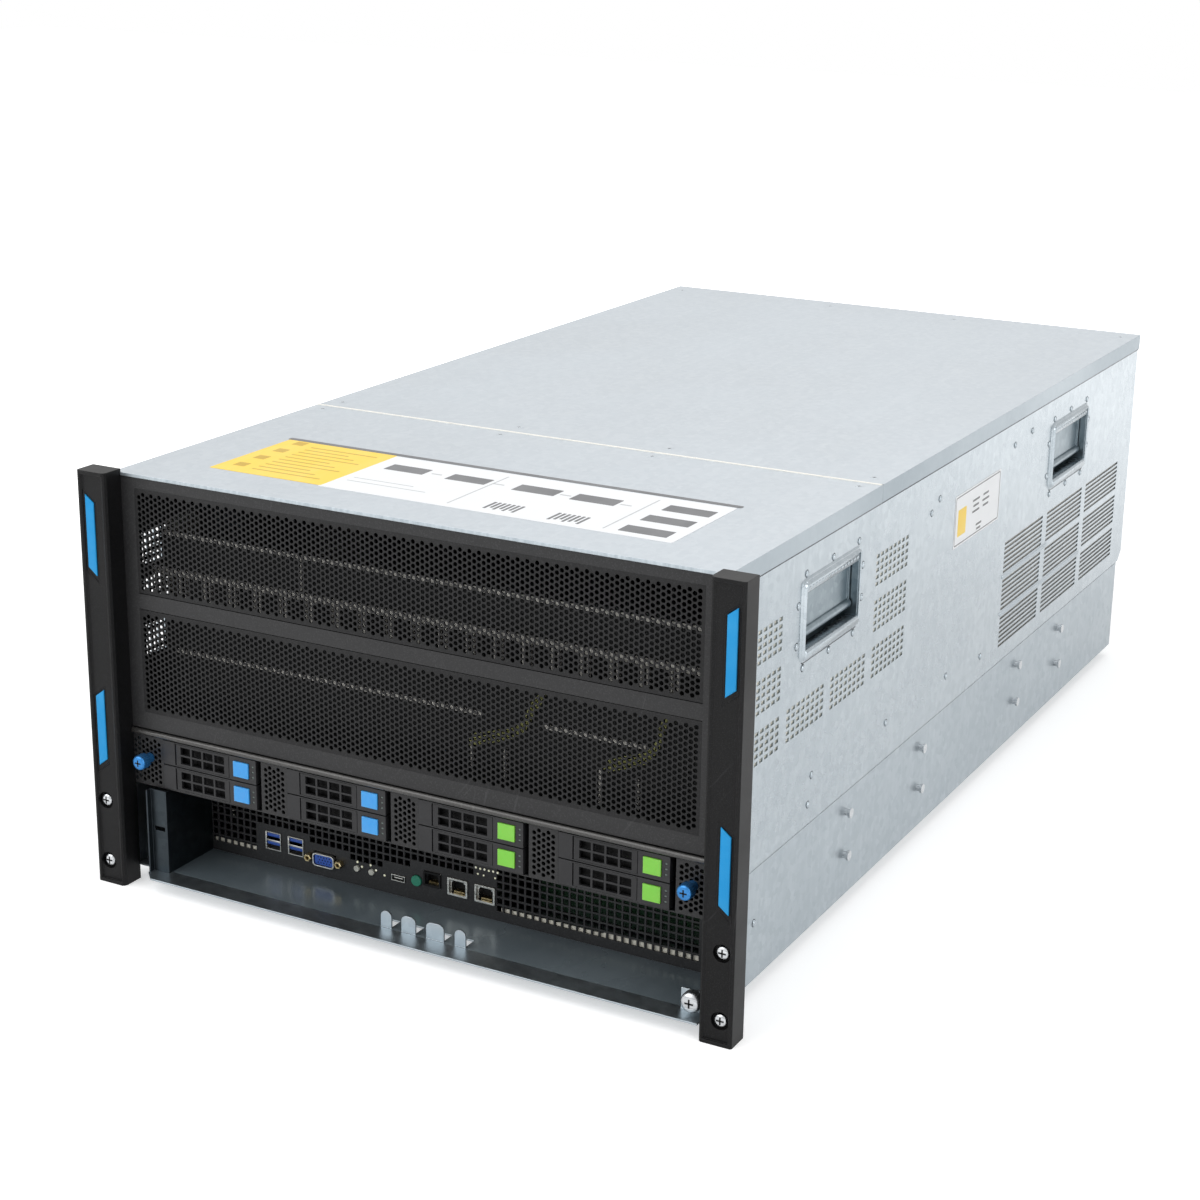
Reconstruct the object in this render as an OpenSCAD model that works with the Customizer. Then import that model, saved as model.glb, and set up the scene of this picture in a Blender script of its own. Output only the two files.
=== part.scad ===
// GPU server for a 19-inch rack: a drive and I/O section below, an accelerator section above.
// X runs to the right as seen from the front, Y to the back, Z up. Depths are given from the
// front panel's face, and in_frame() then centres the whole machine over the origin, with the
// lower ends of the rack ears at z = 0.

/* [Chassis] */
// Width over the cover lips and the lower walls
body_w = 447; // [425:0.5:452]
// Depth of the upper section, from the front panel to the fan wall's outer face
upper_d = 828; // [680:1:1000]
// How far the lower section stops short of the upper one at the back
rear_step = 13; // [4:1:30]
// Height of the lower section, which holds the drives' lower half, the ports and the supplies
lower_h = 77; // [70:0.5:90]
// Height of the upper section, which holds the accelerators
upper_h = 203; // [190:0.5:250]
// Thickness of the sheet steel
sheet = 1.2; // [0.8:0.1:2]
// Depth of the front top cover, up to the seam
front_cover_d = 231; // [180:1:280]
// Height of the cover's folded side lip
cover_lip = 12; // [8:0.5:20]

/* [Rack ears] */
// Width over both ears: the rack's panel width
ear_span = 482.6; // [482.6:0.1:483]
// Height of an ear
ear_h = 292; // [270:0.5:310]
// How far an ear reaches in over the body's edge
ear_lap = 5; // [2.2:0.1:7.2]
// How far an ear stands in front of the panel
ear_t = 17; // [12:0.5:24]
// How far an ear reaches below the chassis floor
ear_drop = 10; // [6:0.5:20]
// Height of a coloured ear insert
insert_h = 56; // [30:1:70]
// Distance across the rack between the screw columns
rack_screw_x = 465.1; // [465:0.1:465.2]
// Vertical distance between the two screws of an ear
rack_screw_z = 44.45; // [44.45:0.01:44.45]
// Diameter of the rack screws' thread
rack_screw_d = 5; // [4.8:0.1:6]

/* [Front] */
// Height of the opening in front of the port panel
io_h = 61.5; // [57:0.5:66]
// How far the port panel stands back
io_recess = 45; // [30:1:60]
// Height of the drive section
drive_h = 40.5; // [40:0.5:44]
// Spacing of the grille's holes
mesh_pitch = 7.8; // [7:0.1:12]
// Diameter of the grille's holes
mesh_hole = 6; // [3:0.1:6]
// Spacing of the port panel's square holes
grid_pitch = 5.5; // [5:0.1:8]
// Side of the port panel's square holes
grid_hole = 4.2; // [3:0.1:4.6]

/* [Drive carriers] */
// Width of a carrier's front
sled_w = 76.8; // [74:0.1:78]
// Height of a carrier's front
sled_h = 16.9; // [16:0.1:17.4]
// Length of a carrier behind its front
sled_d = 106; // [102:1:130]
// Spacing of the carrier columns
sled_pitch_x = 102; // [98:0.5:104]
// Spacing of the two carriers in a column
sled_pitch_z = 17.75; // [17.6:0.05:18.4]
// How far a carrier slides out before it is free
sled_travel = 100; // [40:1:120]
// How far a release lever swings open
lever_open = 45; // [20:1:60]
// Travel of a release button
latch_travel = 1.5; // [0.8:0.1:1.8]

/* [Carry handles] */
// Width of a handle's cup
cup_w = 86; // [70:1:110]
// Height of a handle's cup
cup_h = 47; // [40:1:60]
// Depth of a handle's cup
cup_t = 16; // [12:0.5:22]
// Distance of the front cup's centre from the front panel
cup_front_y = 153; // [140:1:200]
// Distance of the rear cup's centre from the front panel
cup_rear_y = 641; // [520:1:660]

/* [Back] */
// Size of a fan's frame
fan_size = 92; // [80:1:92]
// Spacing of the fans across the back
fan_pitch_x = 142; // [120:1:144]
// Spacing of the fans up the back
fan_pitch_z = 98; // [94:0.5:110]
// Depth of a fan
fan_t = 38; // [25:1:40]
// Width of a power supply
psu_w = 73.5; // [60:0.5:74]
// Height of a power supply
psu_h = 40; // [36:0.5:44]
// Depth of a power supply
psu_d = 185; // [150:1:220]
// How far a power supply slides out before it is free
psu_travel = 170; // [100:1:200]

/* [Hidden] */
$fn = 32;
eps = 0.02;
slip = 0.3;
pin_clear = 0.05;

body_h = lower_h + upper_h;
lower_d = upper_d - rear_step;
front_reach = ear_t;
rear_reach = 16;
mid_y = (upper_d + rear_reach - front_reach) / 2;
ear_w = (ear_span - body_w) / 2 + ear_lap;
wall_out = body_w / 2 - sheet;
wall_in = wall_out - sheet;
panel_half = wall_in;
seam_gap = 0.4;
step_chamfer = 8;
gpu_z0 = io_h + drive_h;
cover_under = body_h - sheet;

// Moves a piece from chassis terms, front panel at y = 0 and floor at z = 0, into the frame
module in_frame() {
  translate([0, -mid_y, ear_drop]) children();
}

// A box between two corners
module block(lo, hi) {
  translate(lo) cube(hi - lo);
}

// A flat outline in X and Z, thickened from y0 towards the back
module facing_front(y0, t) {
  translate([0, y0 + t, 0]) rotate([90, 0, 0]) linear_extrude(t) children();
}

// A flat outline in Y and Z, thickened from x0 to the right
module facing_side(x0, t) {
  translate([x0, 0, 0]) rotate([90, 0, 90]) linear_extrude(t) children();
}

// The same on both sides of the machine
module both_sides() {
  children();
  mirror([1, 0, 0]) children();
}

module round_rect(w, h, r) {
  square([w - 2 * r, h], center = true);
  square([w, h - 2 * r], center = true);
  for (sx = [-1, 1], sz = [-1, 1])
    translate([sx * (w / 2 - r), sz * (h / 2 - r)]) circle(r);
}

// ---- Chassis base: the floor with its front tray, the tie lugs and the lower side walls ----

lug_x = [-15.5, 1.7, 22, 41];
lug_w = [8.2, 10.8, 13.4, 8.2];
lug_h = 12.8;
lug_round = 4;
lug_slot_d = 11;
tray_half = ear_span / 2 - ear_w - 0.3;
tray_left = -204;
tray_corner = 8;
knob_x = tray_half - 7.7;
knob_z = 10.5;
knob_tab_w = 17;
knob_tab_h = 15;
knob_tab_y = -3;

// A lug's outline: straight sides and a rounded top, standing on the floor
module lug_outline(w) {
  r = min(w / 2 - eps, lug_round);
  translate([-w / 2, 0]) square([w, lug_h - r]);
  translate([-w / 2 + r, 0]) square([w - 2 * r, lug_h]);
  for (s = [-1, 1]) translate([s * (w / 2 - r), lug_h - r]) circle(r);
}

module chassis_base() {
  color("#9aa3a8") in_frame() {
    difference() {
      union() {
        facing_front(0, lower_d)
          difference() {
            translate([-wall_out, 0]) square([2 * wall_out, lower_h - seam_gap]);
            translate([-wall_in, sheet]) square([2 * wall_in, lower_h]);
          }
        linear_extrude(sheet)
          polygon([
            [tray_left, 1], [tray_left, -ear_t + tray_corner], [tray_left + tray_corner, -ear_t],
            [tray_half, -ear_t], [tray_half, 1]
          ]);
      }
      for (i = [0:3])
        translate([lug_x[i] - lug_w[i] / 2 + 1, sheet + eps, -1]) cube([lug_w[i] - 2, lug_slot_d, 3 * sheet]);
    }
    for (i = [0:3]) facing_front(0, sheet) translate([lug_x[i], eps]) lug_outline(lug_w[i]);
    facing_front(knob_tab_y, sheet)
      difference() {
        translate([knob_x - knob_tab_w + 7, eps]) square([knob_tab_w, knob_tab_h]);
        translate([knob_x, knob_z]) circle(d = 5 + 2 * pin_clear);
      }
  }
}

// ---- Upper side walls with their slotted vents and cup cut-outs ----

vent_w = 60;
vent_h = 24;
vent_y = [20, 89, 158, 228];
vent_z = [145, 177.5, 209.5];
vent_cols = 8;
vent_rows = 5;
rear_vent_w = 94;
rear_vent_h = 26;
rear_vent_y0 = 495;
rear_vent_pitch = 102.5;
rear_vent_z = [89, 119, 149];
rear_vent_slots = 7;
cup_z = 220;
cup_gap = 0.2;

// One field of short slots, its lower front corner at the origin
module short_slots() {
  px = vent_w / vent_cols;
  pz = vent_h / vent_rows;
  for (i = [0 : vent_cols - 1], j = [0 : vent_rows - 1])
    translate([i * px + 1.1, j * pz + 1.1]) square([px - 2.2, pz - 2.2]);
}

// One field of long slots, its lower front corner at the origin
module long_slots() {
  pz = rear_vent_h / rear_vent_slots;
  for (j = [0 : rear_vent_slots - 1])
    translate([1, j * pz + 0.8]) square([rear_vent_w - 2, pz - 1.6]);
}

module upper_wall_outline() {
  difference() {
    polygon([
      [0, lower_h], [upper_d - step_chamfer, lower_h], [upper_d, lower_h + step_chamfer],
      [upper_d, cover_under], [0, cover_under]
    ]);
    for (y = [vent_y[0], vent_y[3]], z = vent_z) translate([y, z]) short_slots();
    for (y = [vent_y[1], vent_y[2]]) translate([y, vent_z[0]]) short_slots();
    for (i = [0:2], z = rear_vent_z) translate([rear_vent_y0 + i * rear_vent_pitch, z]) long_slots();
    for (y = [cup_front_y, cup_rear_y])
      translate([y, cup_z]) square([cup_w + 2 * cup_gap, cup_h + 2 * cup_gap], center = true);
  }
}

module side_walls() {
  color("#b4bcc0") in_frame()
    both_sides() facing_side(wall_in, sheet) upper_wall_outline();
}

// ---- Inner frame: the deck between the sections, the drive cage, bay walls and cable bracket ----

bay_w = sled_w + 4.2;
bay_x = [for (c = [0:3]) (c - 1.5) * sled_pitch_x];
bay_z0 = io_h + 0.7;
bay_h = sled_pitch_z + sled_h + 2 * slip;
cage_d = sled_d + 14;
cage_top = bay_z0 + bay_h + sheet;
deck_y0 = cage_d + 6;
psu_gap = 0.5;
psu_pitch = psu_w + 2 * psu_gap + sheet;
psu_x0 = -wall_in + sheet + psu_gap + psu_w / 2;
psu_z0 = sheet + slip;

module drive_cage() {
  difference() {
    block([-panel_half, sheet, bay_z0 - sheet], [panel_half, cage_d, bay_z0 + bay_h + sheet]);
    for (x = bay_x)
      block([x - bay_w / 2, 0, bay_z0], [x + bay_w / 2, cage_d - sheet, bay_z0 + bay_h]);
    for (i = [0:4]) {
      x = (i - 2) * sled_pitch_x;
      w = i == 0 || i == 4 ? sled_pitch_x - bay_w : sled_pitch_x - bay_w - 2 * sheet;
      block([x - w / 2, 0, bay_z0], [x + w / 2, cage_d - sheet, bay_z0 + bay_h]);
    }
    for (x = bay_x, z = [0, sled_pitch_z])
      translate([x, cage_d, bay_z0 + sled_h / 2 + z]) rotate([90, 0, 0])
        translate([0, 0, -sheet]) cylinder(d = 9, h = 4 * sheet);
  }
}

module inner_frame() {
  color("#6c757b") in_frame() {
    drive_cage();
    block([-wall_in, deck_y0, lower_h - sheet], [wall_in, lower_d - sheet, lower_h]);
    both_sides() block([wall_in - sheet, deck_y0, lower_h], [wall_in, cup_front_y + 330, lower_h + 10]);
    for (i = [0:3]) {
      x = psu_x0 + (i + 0.5) * psu_pitch;
      block([x - sheet / 2, lower_d - psu_d - 10, sheet], [x + sheet / 2, lower_d - sheet, lower_h - sheet]);
    }
    jamb();
  }
}

jamb_x = -190;
jamb_y = -4;
jamb_slot_z = 33;

// The stepped jamb at the left of the port recess: a cheek, a flange with a slot, and the inner wall
module jamb() {
  top = bay_z0 - sheet;
  difference() {
    translate([0, 0, sheet]) linear_extrude(top - sheet + eps)
      polygon([
        [tray_left, -ear_t + tray_corner + 1], [tray_left + sheet, -ear_t + tray_corner + 1],
        [tray_left + sheet, jamb_y], [jamb_x, jamb_y], [jamb_x, io_recess], [jamb_x - sheet, io_recess],
        [jamb_x - sheet, jamb_y + sheet], [tray_left, jamb_y + sheet]
      ]);
    translate([tray_left + 3.4, jamb_y - 1, jamb_slot_z - 1.6]) cube([8.6, 4, 3.2]);
  }
}

// ---- Top covers ----

module cover(y0, y1) {
  block([-body_w / 2, y0, cover_under], [body_w / 2, y1, body_h]);
  both_sides() block([wall_out, y0, body_h - cover_lip], [body_w / 2, y1, cover_under + eps]);
}

module front_cover() {
  color("#c9d0d6") in_frame() {
    difference() {
      union() {
        cover(0, front_cover_d - seam_gap / 2);
        block([-tray_half, -1, cover_under - 1], [tray_half, 0.5, body_h]);
      }
      block([-body_w / 2 + 2, -eps, 0], [body_w / 2 - 2, 5, cover_under]);
    }
  }
}

module rear_cover() {
  color("#c3cbd1") in_frame() cover(front_cover_d + seam_gap / 2, upper_d);
}

// ---- Back: fan wall above, supply and card openings below ----

fan_x = [for (c = [0:2]) (c - 1) * fan_pitch_x - 22];
fan_z = [for (r = [0:1]) lower_h + upper_h / 2 + (r - 0.5) * fan_pitch_z + 2.4];
fan_bore = fan_size - 4;
card_x = [for (i = [0:3]) psu_x0 + 3.5 * psu_pitch + 22 + i * 20.32];
card_w = 14;
card_h = 54;

module guard_opening() {
  for (i = [0:3])
    difference() {
      circle(d = fan_bore - i * 20, $fn = 48);
      circle(d = fan_bore - i * 20 - 15, $fn = 48);
      for (a = [45, 135]) rotate(a) square([fan_size * 1.2, 4], center = true);
    }
}

module rear_panel() {
  turn = sheet * tan(22.5);
  color("#aeb6bb") in_frame() {
    difference() {
      rotate([90, 0, 90]) translate([0, 0, -wall_in]) linear_extrude(2 * wall_in)
        polygon([
          [lower_d, lower_h], [upper_d - step_chamfer, lower_h],
          [upper_d, lower_h + step_chamfer], [upper_d, cover_under],
          [upper_d - sheet, cover_under], [upper_d - sheet, lower_h + step_chamfer + turn],
          [upper_d - step_chamfer - turn, lower_h + sheet], [lower_d, lower_h + sheet]
        ]);
      for (x = fan_x, z = fan_z)
        facing_front(upper_d - 2 * sheet, 3 * sheet) translate([x, z]) guard_opening();
    }
    facing_front(lower_d - sheet, sheet)
      difference() {
        translate([-wall_in, sheet]) square([2 * wall_in, lower_h - sheet]);
        for (i = [0:3])
          translate([psu_x0 + i * psu_pitch - psu_w / 2 - psu_gap, sheet])
            square([psu_w + 2 * psu_gap, psu_h + 2 * slip]);
        for (x = card_x) translate([x - card_w / 2, 7]) square([card_w, card_h]);
        for (i = [0:16])
          translate([psu_x0 - psu_w / 2 + 8 + i * 17.5, psu_h + 13]) circle(d = 9);
      }
    for (x = card_x)
      block([x - card_w / 2 - 1.5, lower_d - 2 * sheet, 5.5], [x + card_w / 2 + 1.5, lower_d - sheet, 7 + card_h + 1]);
  }
}

// The finger bow beside a fan, standing on the wall's outer face
module fan_grip() {
  gx = fan_size / 2 + 14;
  grip_h = 52;
  rotate([90, 0, 90]) translate([0, 0, gx - 4]) linear_extrude(8)
    difference() {
      polygon([[0, -grip_h / 2], [rear_reach, -grip_h / 2 + 8], [rear_reach, grip_h / 2 - 8], [0, grip_h / 2]]);
      polygon([[-1, -grip_h / 2 + 5], [rear_reach - 4, -grip_h / 2 + 11],
               [rear_reach - 4, grip_h / 2 - 11], [-1, grip_h / 2 - 5]]);
    }
}

// ---- Front panel of the accelerator section, and the perforated fields in it ----

field_half = 208;
field_z = [[114.5, 187.5], [198.5, 270.5]];
return_flange = 10;

module front_panel() {
  color("#3a3a3c") in_frame() {
    facing_front(0, sheet)
      difference() {
        translate([-panel_half, gpu_z0 + 0.6]) square([2 * panel_half, cover_under - gpu_z0 - 0.6]);
        for (f = field_z) translate([-field_half, f[0]]) square([2 * field_half, f[1] - f[0]]);
      }
    block([-panel_half, sheet, cover_under - sheet], [panel_half, return_flange, cover_under]);
    block([-panel_half, sheet, gpu_z0 + 0.6], [panel_half, return_flange, gpu_z0 + 0.6 + sheet]);
  }
}

// Staggered round holes in upright columns, in tiles that join into one sheet
module perforated(x0, x1, z0, z1) {
  step = mesh_pitch * sin(60);
  cols = floor((x1 - x0 - 2) / step);
  rows = floor((z1 - z0 - 2) / mesh_pitch - 0.5);
  lead = (x1 - x0 - (cols - 1) * step) / 2;
  rise = (z1 - z0 - (rows - 0.5) * mesh_pitch) / 2;
  tile = 10;
  tiles = ceil(cols / tile);
  for (k = [0 : tiles - 1]) {
    a = k == 0 ? x0 : x0 + lead + (k * tile - 0.5) * step;
    b = k == tiles - 1 ? x1 : x0 + lead + ((k + 1) * tile - 0.5) * step + eps;
    difference() {
      translate([a, z0]) square([b - a, z1 - z0]);
      for (i = [k * tile : min(cols, (k + 1) * tile) - 1], j = [0 : rows - 1])
        translate([x0 + lead + i * step, z0 + rise + (j + (i % 2) / 2) * mesh_pitch]) circle(d = mesh_hole);
    }
  }
}

module gpu_grille() {
  color("#2e2e30") in_frame()
    for (f = field_z) facing_front(0, sheet) perforated(-field_half, field_half, f[0], f[1]);
}

// ---- Drive bezel: bay windows, perforated strips and the rolled upper edge ----

bezel_t = sheet;
roll_r = 2;
strip_hole = 4;

module drive_bezel() {
  color("#39393b") in_frame() {
    facing_front(0, bezel_t)
      difference() {
        translate([-panel_half, io_h]) square([2 * panel_half, drive_h - roll_r]);
        for (x = bay_x) translate([x - bay_w / 2, bay_z0]) square([bay_w, bay_h]);
        for (i = [0:4], c = [-1 : 1], r = [0:4]) {
          x = (i - 2) * sled_pitch_x + (i == 0 ? 6 : i == 4 ? -6 : 0);
          if ((i > 0 && i < 4) || abs(c) < 1.5)
            translate([x + c * 5.6, bay_z0 + 6 + r * 6 + (c == 0 ? 2.6 : 0)]) circle(d = strip_hole);
        }
      }
    translate([-tray_half, -roll_r + bezel_t, io_h + drive_h - roll_r]) rotate([0, 90, 0])
      difference() {
        cylinder(r = roll_r, h = 2 * tray_half);
        translate([0, 0, -1]) cylinder(r = roll_r - bezel_t, h = 2 * tray_half + 2);
      }
  }
}

// ---- Port panel ----

usb_x = [-137.6, -118.8];
usb_w = 13.1;
usb_h = 13.4;
usb_z = 11.8;
vga_x = -94.6;
vga_z = 14;
jack_x = [-8.3, 11.6, 32.6];
jack_w = [13.6, 15.6, 15.6];
jack_h = [10.6, 12.6, 12.6];
jack_z = [13.8, 11.6, 11.6];
micro_x = -35.2;
micro_z = 14;
micro_w = 11;
micro_h = 4.6;
power_x = -20.6;
power_z = 15.7;
power_d = 7.6;
small_x = [-68.5, -56.6];
small_z = 13.7;
small_d = 4.2;
button_clear = 0.25;

module port_cutouts() {
  for (x = usb_x) translate([x - usb_w / 2, usb_z]) square([usb_w, usb_h]);
  translate([vga_x, vga_z]) square([18, 10], center = true);
  for (i = [0:2]) translate([jack_x[i] - jack_w[i] / 2, jack_z[i]]) square([jack_w[i], jack_h[i]]);
  translate([micro_x, micro_z]) square([micro_w, micro_h], center = true);
  translate([power_x, power_z]) circle(d = power_d + 2 * button_clear);
  for (x = small_x) translate([x, small_z]) circle(d = small_d + 2 * button_clear);
}

grid_x0 = -187.5;
grid_z0 = 10;
grid_cols = 69;
grid_rows = 9;

// The lowest row of holes at a given distance across, counted from the lowest row of all
function grid_from(x) =
  x < -153 ? 0 : x < -107 ? 4 : x < -72 ? 3 : x < -45 ? 2 : x < -27 ? 3 : x < 22 ? 4 : x < 42 ? 6 : 0;

// Rows of square holes above and beside the ports
module grid_holes() {
  for (i = [0 : grid_cols - 1]) {
    x = grid_x0 + i * grid_pitch;
    for (j = [grid_from(x) : grid_rows - 1])
      if (x < wall_in - grid_pitch && grid_z0 + (j + 0.5) * grid_pitch < bay_z0 - sheet)
        translate([x, grid_z0 + j * grid_pitch]) square(grid_hole, center = true);
  }
}

module io_panel() {
  color("#353537") in_frame()
    facing_front(io_recess, sheet)
      difference() {
        translate([-wall_in, sheet]) square([2 * wall_in, bay_z0 - 2 * sheet]);
        port_cutouts();
        grid_holes();
      }
}

// A socket's metal shell: a sleeve with a back, open to the front, with a wall and floor thickness
module shell(x, z, w, h, d, t) {
  difference() {
    block([x - w / 2 + slip / 2, io_recess - 0.8, z + slip / 2], [x + w / 2 - slip / 2, io_recess + d, z + h - slip / 2]);
    block([x - w / 2 + t, io_recess - 2, z + t], [x + w / 2 - t, io_recess + d - 1, z + h - t]);
  }
}

module ports() {
  color("#c8c8c4") in_frame() {
    for (x = usb_x) {
      shell(x, usb_z, usb_w, usb_h, 18, 0.7);
      block([x - usb_w / 2 + 0.7, io_recess, usb_z + usb_h / 2 - 0.8],
            [x + usb_w / 2 - 0.7, io_recess + 17, usb_z + usb_h / 2 + 0.8]);
      for (z = [usb_z + usb_h * 0.3, usb_z + usb_h * 0.76])
        block([x - 5, io_recess + 2, z], [x + 5, io_recess + 17, z + 1.4]);
    }
    difference() {
      facing_front(io_recess - 3, 3 + 8) translate([vga_x, vga_z]) round_rect(17.4, 9.4, 2.5);
      facing_front(io_recess - 4, 6) translate([vga_x, vga_z]) round_rect(15.8, 7.8, 2);
    }
    for (s = [-1, 1])
      translate([vga_x + s * 12.5, io_recess, vga_z]) rotate([90, 0, 0])
        difference() {
          cylinder(d = 5.5, h = 4, $fn = 6);
          translate([0, 0, -1]) cylinder(d = 2.8, h = 6);
        }
    for (i = [0:2]) shell(jack_x[i], jack_z[i], jack_w[i], jack_h[i], 20, 1.1);
    shell(micro_x, micro_z - micro_h / 2, micro_w, micro_h, 8, 0.6);
  }
}

module button(x, z, d) {
  translate([x, io_recess - 1.2, z]) rotate([-90, 0, 0]) {
    cylinder(d = d, h = 6);
    translate([0, 0, 1.2 + sheet + slip]) cylinder(d = d + 2, h = 1);
  }
}

module power_button() {
  color("#2e9e77") in_frame() button(power_x, power_z, power_d);
}

module id_button() {
  color("#d8d8d8") in_frame() button(small_x[0], small_z, small_d);
}

module reset_button() {
  color("#d8d8d8") in_frame() button(small_x[1], small_z, small_d);
}

// ---- Rack ears ----

ear_rim = 2.4;
ear_field = 1.6;
ear_x0 = ear_span / 2 - ear_w;
insert_w = 10.4;
insert_slant = 8;
insert_x = ear_span / 2 - 8.6;
insert_z = [74, 209];
insert_t = 1.2;
screw_x = rack_screw_x / 2;
screw_z = [6, 6 + rack_screw_z];
screw_head_d = 9;
counterbore_d = 12;
counterbore_t = 5;
screw_float = 2.8;

// An insert's outline; the upper pair slants up towards the outside, the lower pair down
module insert_outline(i, grow) {
  s = i == 1 ? insert_slant : -insert_slant;
  translate([insert_x, insert_z[i]])
    polygon([
      [-insert_w / 2 - grow, -grow - s / 2],
      [insert_w / 2 + grow, -grow + s / 2],
      [insert_w / 2 + grow, insert_h + grow + s / 2],
      [-insert_w / 2 - grow, insert_h + grow - s / 2]
    ]);
}

module ear_profile() {
  x1 = ear_span / 2;
  polygon([
    [ear_x0, 0], [ear_x0, -ear_t + 3], [ear_x0 + 0.9, -ear_t + 0.9], [ear_x0 + 2, -ear_t + 0.3],
    [ear_x0 + 3.2, -ear_t + 0.9], [ear_x0 + 4, -ear_t + ear_field], [x1 - ear_rim - 1, -ear_t + ear_field],
    [x1 - ear_rim, -ear_t], [x1 - 1, -ear_t], [x1, -ear_t + 1], [x1, 0]
  ]);
}

module right_ear() {
  difference() {
    union() {
      translate([0, 0, -ear_drop]) linear_extrude(ear_h) ear_profile();
      for (z = [-ear_drop, ear_h - ear_drop - ear_rim])
        block([ear_x0 + 2, -ear_t, z], [ear_span / 2 - 1.5, -ear_t + 3, z + ear_rim]);
    }
    for (i = [0, 1])
      facing_front(-ear_t + ear_field - 1, insert_t + 1) insert_outline(i, 0.15);
    for (z = screw_z) {
      translate([screw_x, -ear_t - 1, z]) rotate([-90, 0, 0]) cylinder(d = counterbore_d, h = counterbore_t + 1);
      translate([screw_x, -ear_t - 1, z]) rotate([-90, 0, 0])
        cylinder(d = rack_screw_d + screw_float, h = ear_t + 2);
    }
  }
}

module ears() {
  color("#2f2f31") in_frame() both_sides() right_ear();
}

module ear_inserts() {
  color("#1d9ad8") in_frame() both_sides()
    for (i = [0, 1]) facing_front(-ear_t + ear_field, insert_t) insert_outline(i, 0);
}

// ---- Screws: the captive rack screws, the tray knob and the cover screws ----

screw_out = 12;
knob_d = 13.6;

module cross_recess(d) {
  for (a = [0, 90]) rotate(a) translate([-d / 2, -0.5, 0]) cube([d, 1, 2.2]);
}

module rack_screw() {
  head_t = 3.4;
  difference() {
    union() {
      cylinder(d = screw_head_d, h = head_t - 1);
      translate([0, 0, head_t - 1]) cylinder(d1 = screw_head_d, d2 = screw_head_d - 2, h = 1);
      translate([0, 0, -ear_t + counterbore_t - screw_out]) cylinder(d = rack_screw_d, h = ear_t - counterbore_t + screw_out + eps);
    }
    translate([0, 0, head_t - 1.8]) cross_recess(5);
  }
}

// The tray's captive knob: a stem through the tab, a collar, a round head and a cross recess
module tray_knob() {
  difference() {
    union() {
      translate([0, 0, -7]) cylinder(d = 5, h = 8);
      cylinder(d = 8, h = 2);
      translate([0, 0, 2 - eps]) cylinder(d = knob_d, h = 6);
      translate([0, 0, 8 - 2 * eps]) cylinder(d1 = knob_d, d2 = knob_d - 3, h = 1.8);
    }
    translate([0, 0, 8]) cross_recess(5.5);
  }
}

module cover_screw() {
  difference() {
    cylinder(d = 6.4, h = 0.9);
    translate([0, 0, 0.3]) cross_recess(3.4);
  }
}

cover_screw_y = [front_cover_d - 12, front_cover_d + 14, upper_d - 20];

module screws() {
  color("#d9dadb") in_frame() {
    both_sides() for (z = screw_z)
      translate([screw_x, -ear_t + counterbore_t, z]) rotate([90, 0, 0]) rack_screw();
    translate([knob_x, knob_tab_y - 0.2, knob_z]) rotate([90, 0, 0]) tray_knob();
    for (y = cover_screw_y, x = [-body_w / 2 + 12, -60, 60, body_w / 2 - 12])
      translate([x, y, body_h]) cover_screw();
  }
}

thumb_x = panel_half - 16.1;

module thumbscrews() {
  color("#3f86c6") in_frame() both_sides()
    translate([thumb_x, 0, 82]) rotate([90, 0, 0]) {
      cylinder(d = 7, h = 5);
      translate([0, 0, 5 - eps]) cylinder(d = 10.5, h = 7.5);
      translate([0, 0, 12.5 - 2 * eps]) cylinder(d1 = 10.5, d2 = 8.5, h = 1);
    }
}

// ---- Studs and rivets on the sides ----

stud_y = [196, 333, 544, 651];
stud_z = [31, 62];
stud_d = 7;
stud_t = 4.4;
stud_hand = 0.6;
ear_stud = [52, 40];
rivet_d = 4.2;
rivet_t = 0.9;
cup_rivets = [[-40, 30], [2, 30], [44, 30], [52, 12], [52, -10], [40, -31], [0, -31], [-41, -31], [-52, -14], [-51, 12]];
wall_rivets = [
  [130, 91], [134, 110], [262, 104], [380, 102], [455, 95], [330, 237], [345, 244], [505, 249], [545, 252]
];

module rail_stud() {
  rotate([0, 90, 0]) {
    cylinder(d = stud_d - 2.2, h = stud_t);
    translate([0, 0, stud_t - 1.6]) cylinder(d = stud_d, h = 1.6);
  }
}

module rivet() {
  rotate([0, 90, 0]) cylinder(d1 = rivet_d, d2 = rivet_d * 0.6, h = rivet_t);
}

// The left side's studs sit lower by stud_hand, so that no stud shares its axis with another
module side_studs() {
  color("#cfd3d6") in_frame() for (side = [0, 1]) mirror([side, 0, 0]) {
    for (y = stud_y, z = stud_z) translate([wall_out, y, z - side * stud_hand]) rail_stud();
    translate([wall_out, ear_stud[0], ear_stud[1]]) rivet();
    for (c = [cup_front_y, cup_rear_y], r = cup_rivets)
      translate([wall_out, c + r[0], cup_z + r[1]]) rivet();
    for (r = wall_rivets) translate([wall_out, r[0], r[1]]) rivet();
  }
}

// ---- Carry handles in their cups ----

cup_wall = 1;
cup_edge = 1;
cup_flange = 8;
bail_pin_d = 4;
bail_x = wall_out - 6;
bail_pin_z = cup_z + cup_h / 2 - 8;
bail_half = cup_w / 2 - cup_wall - 1.2;
bail_drop = cup_h - 20;

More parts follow.
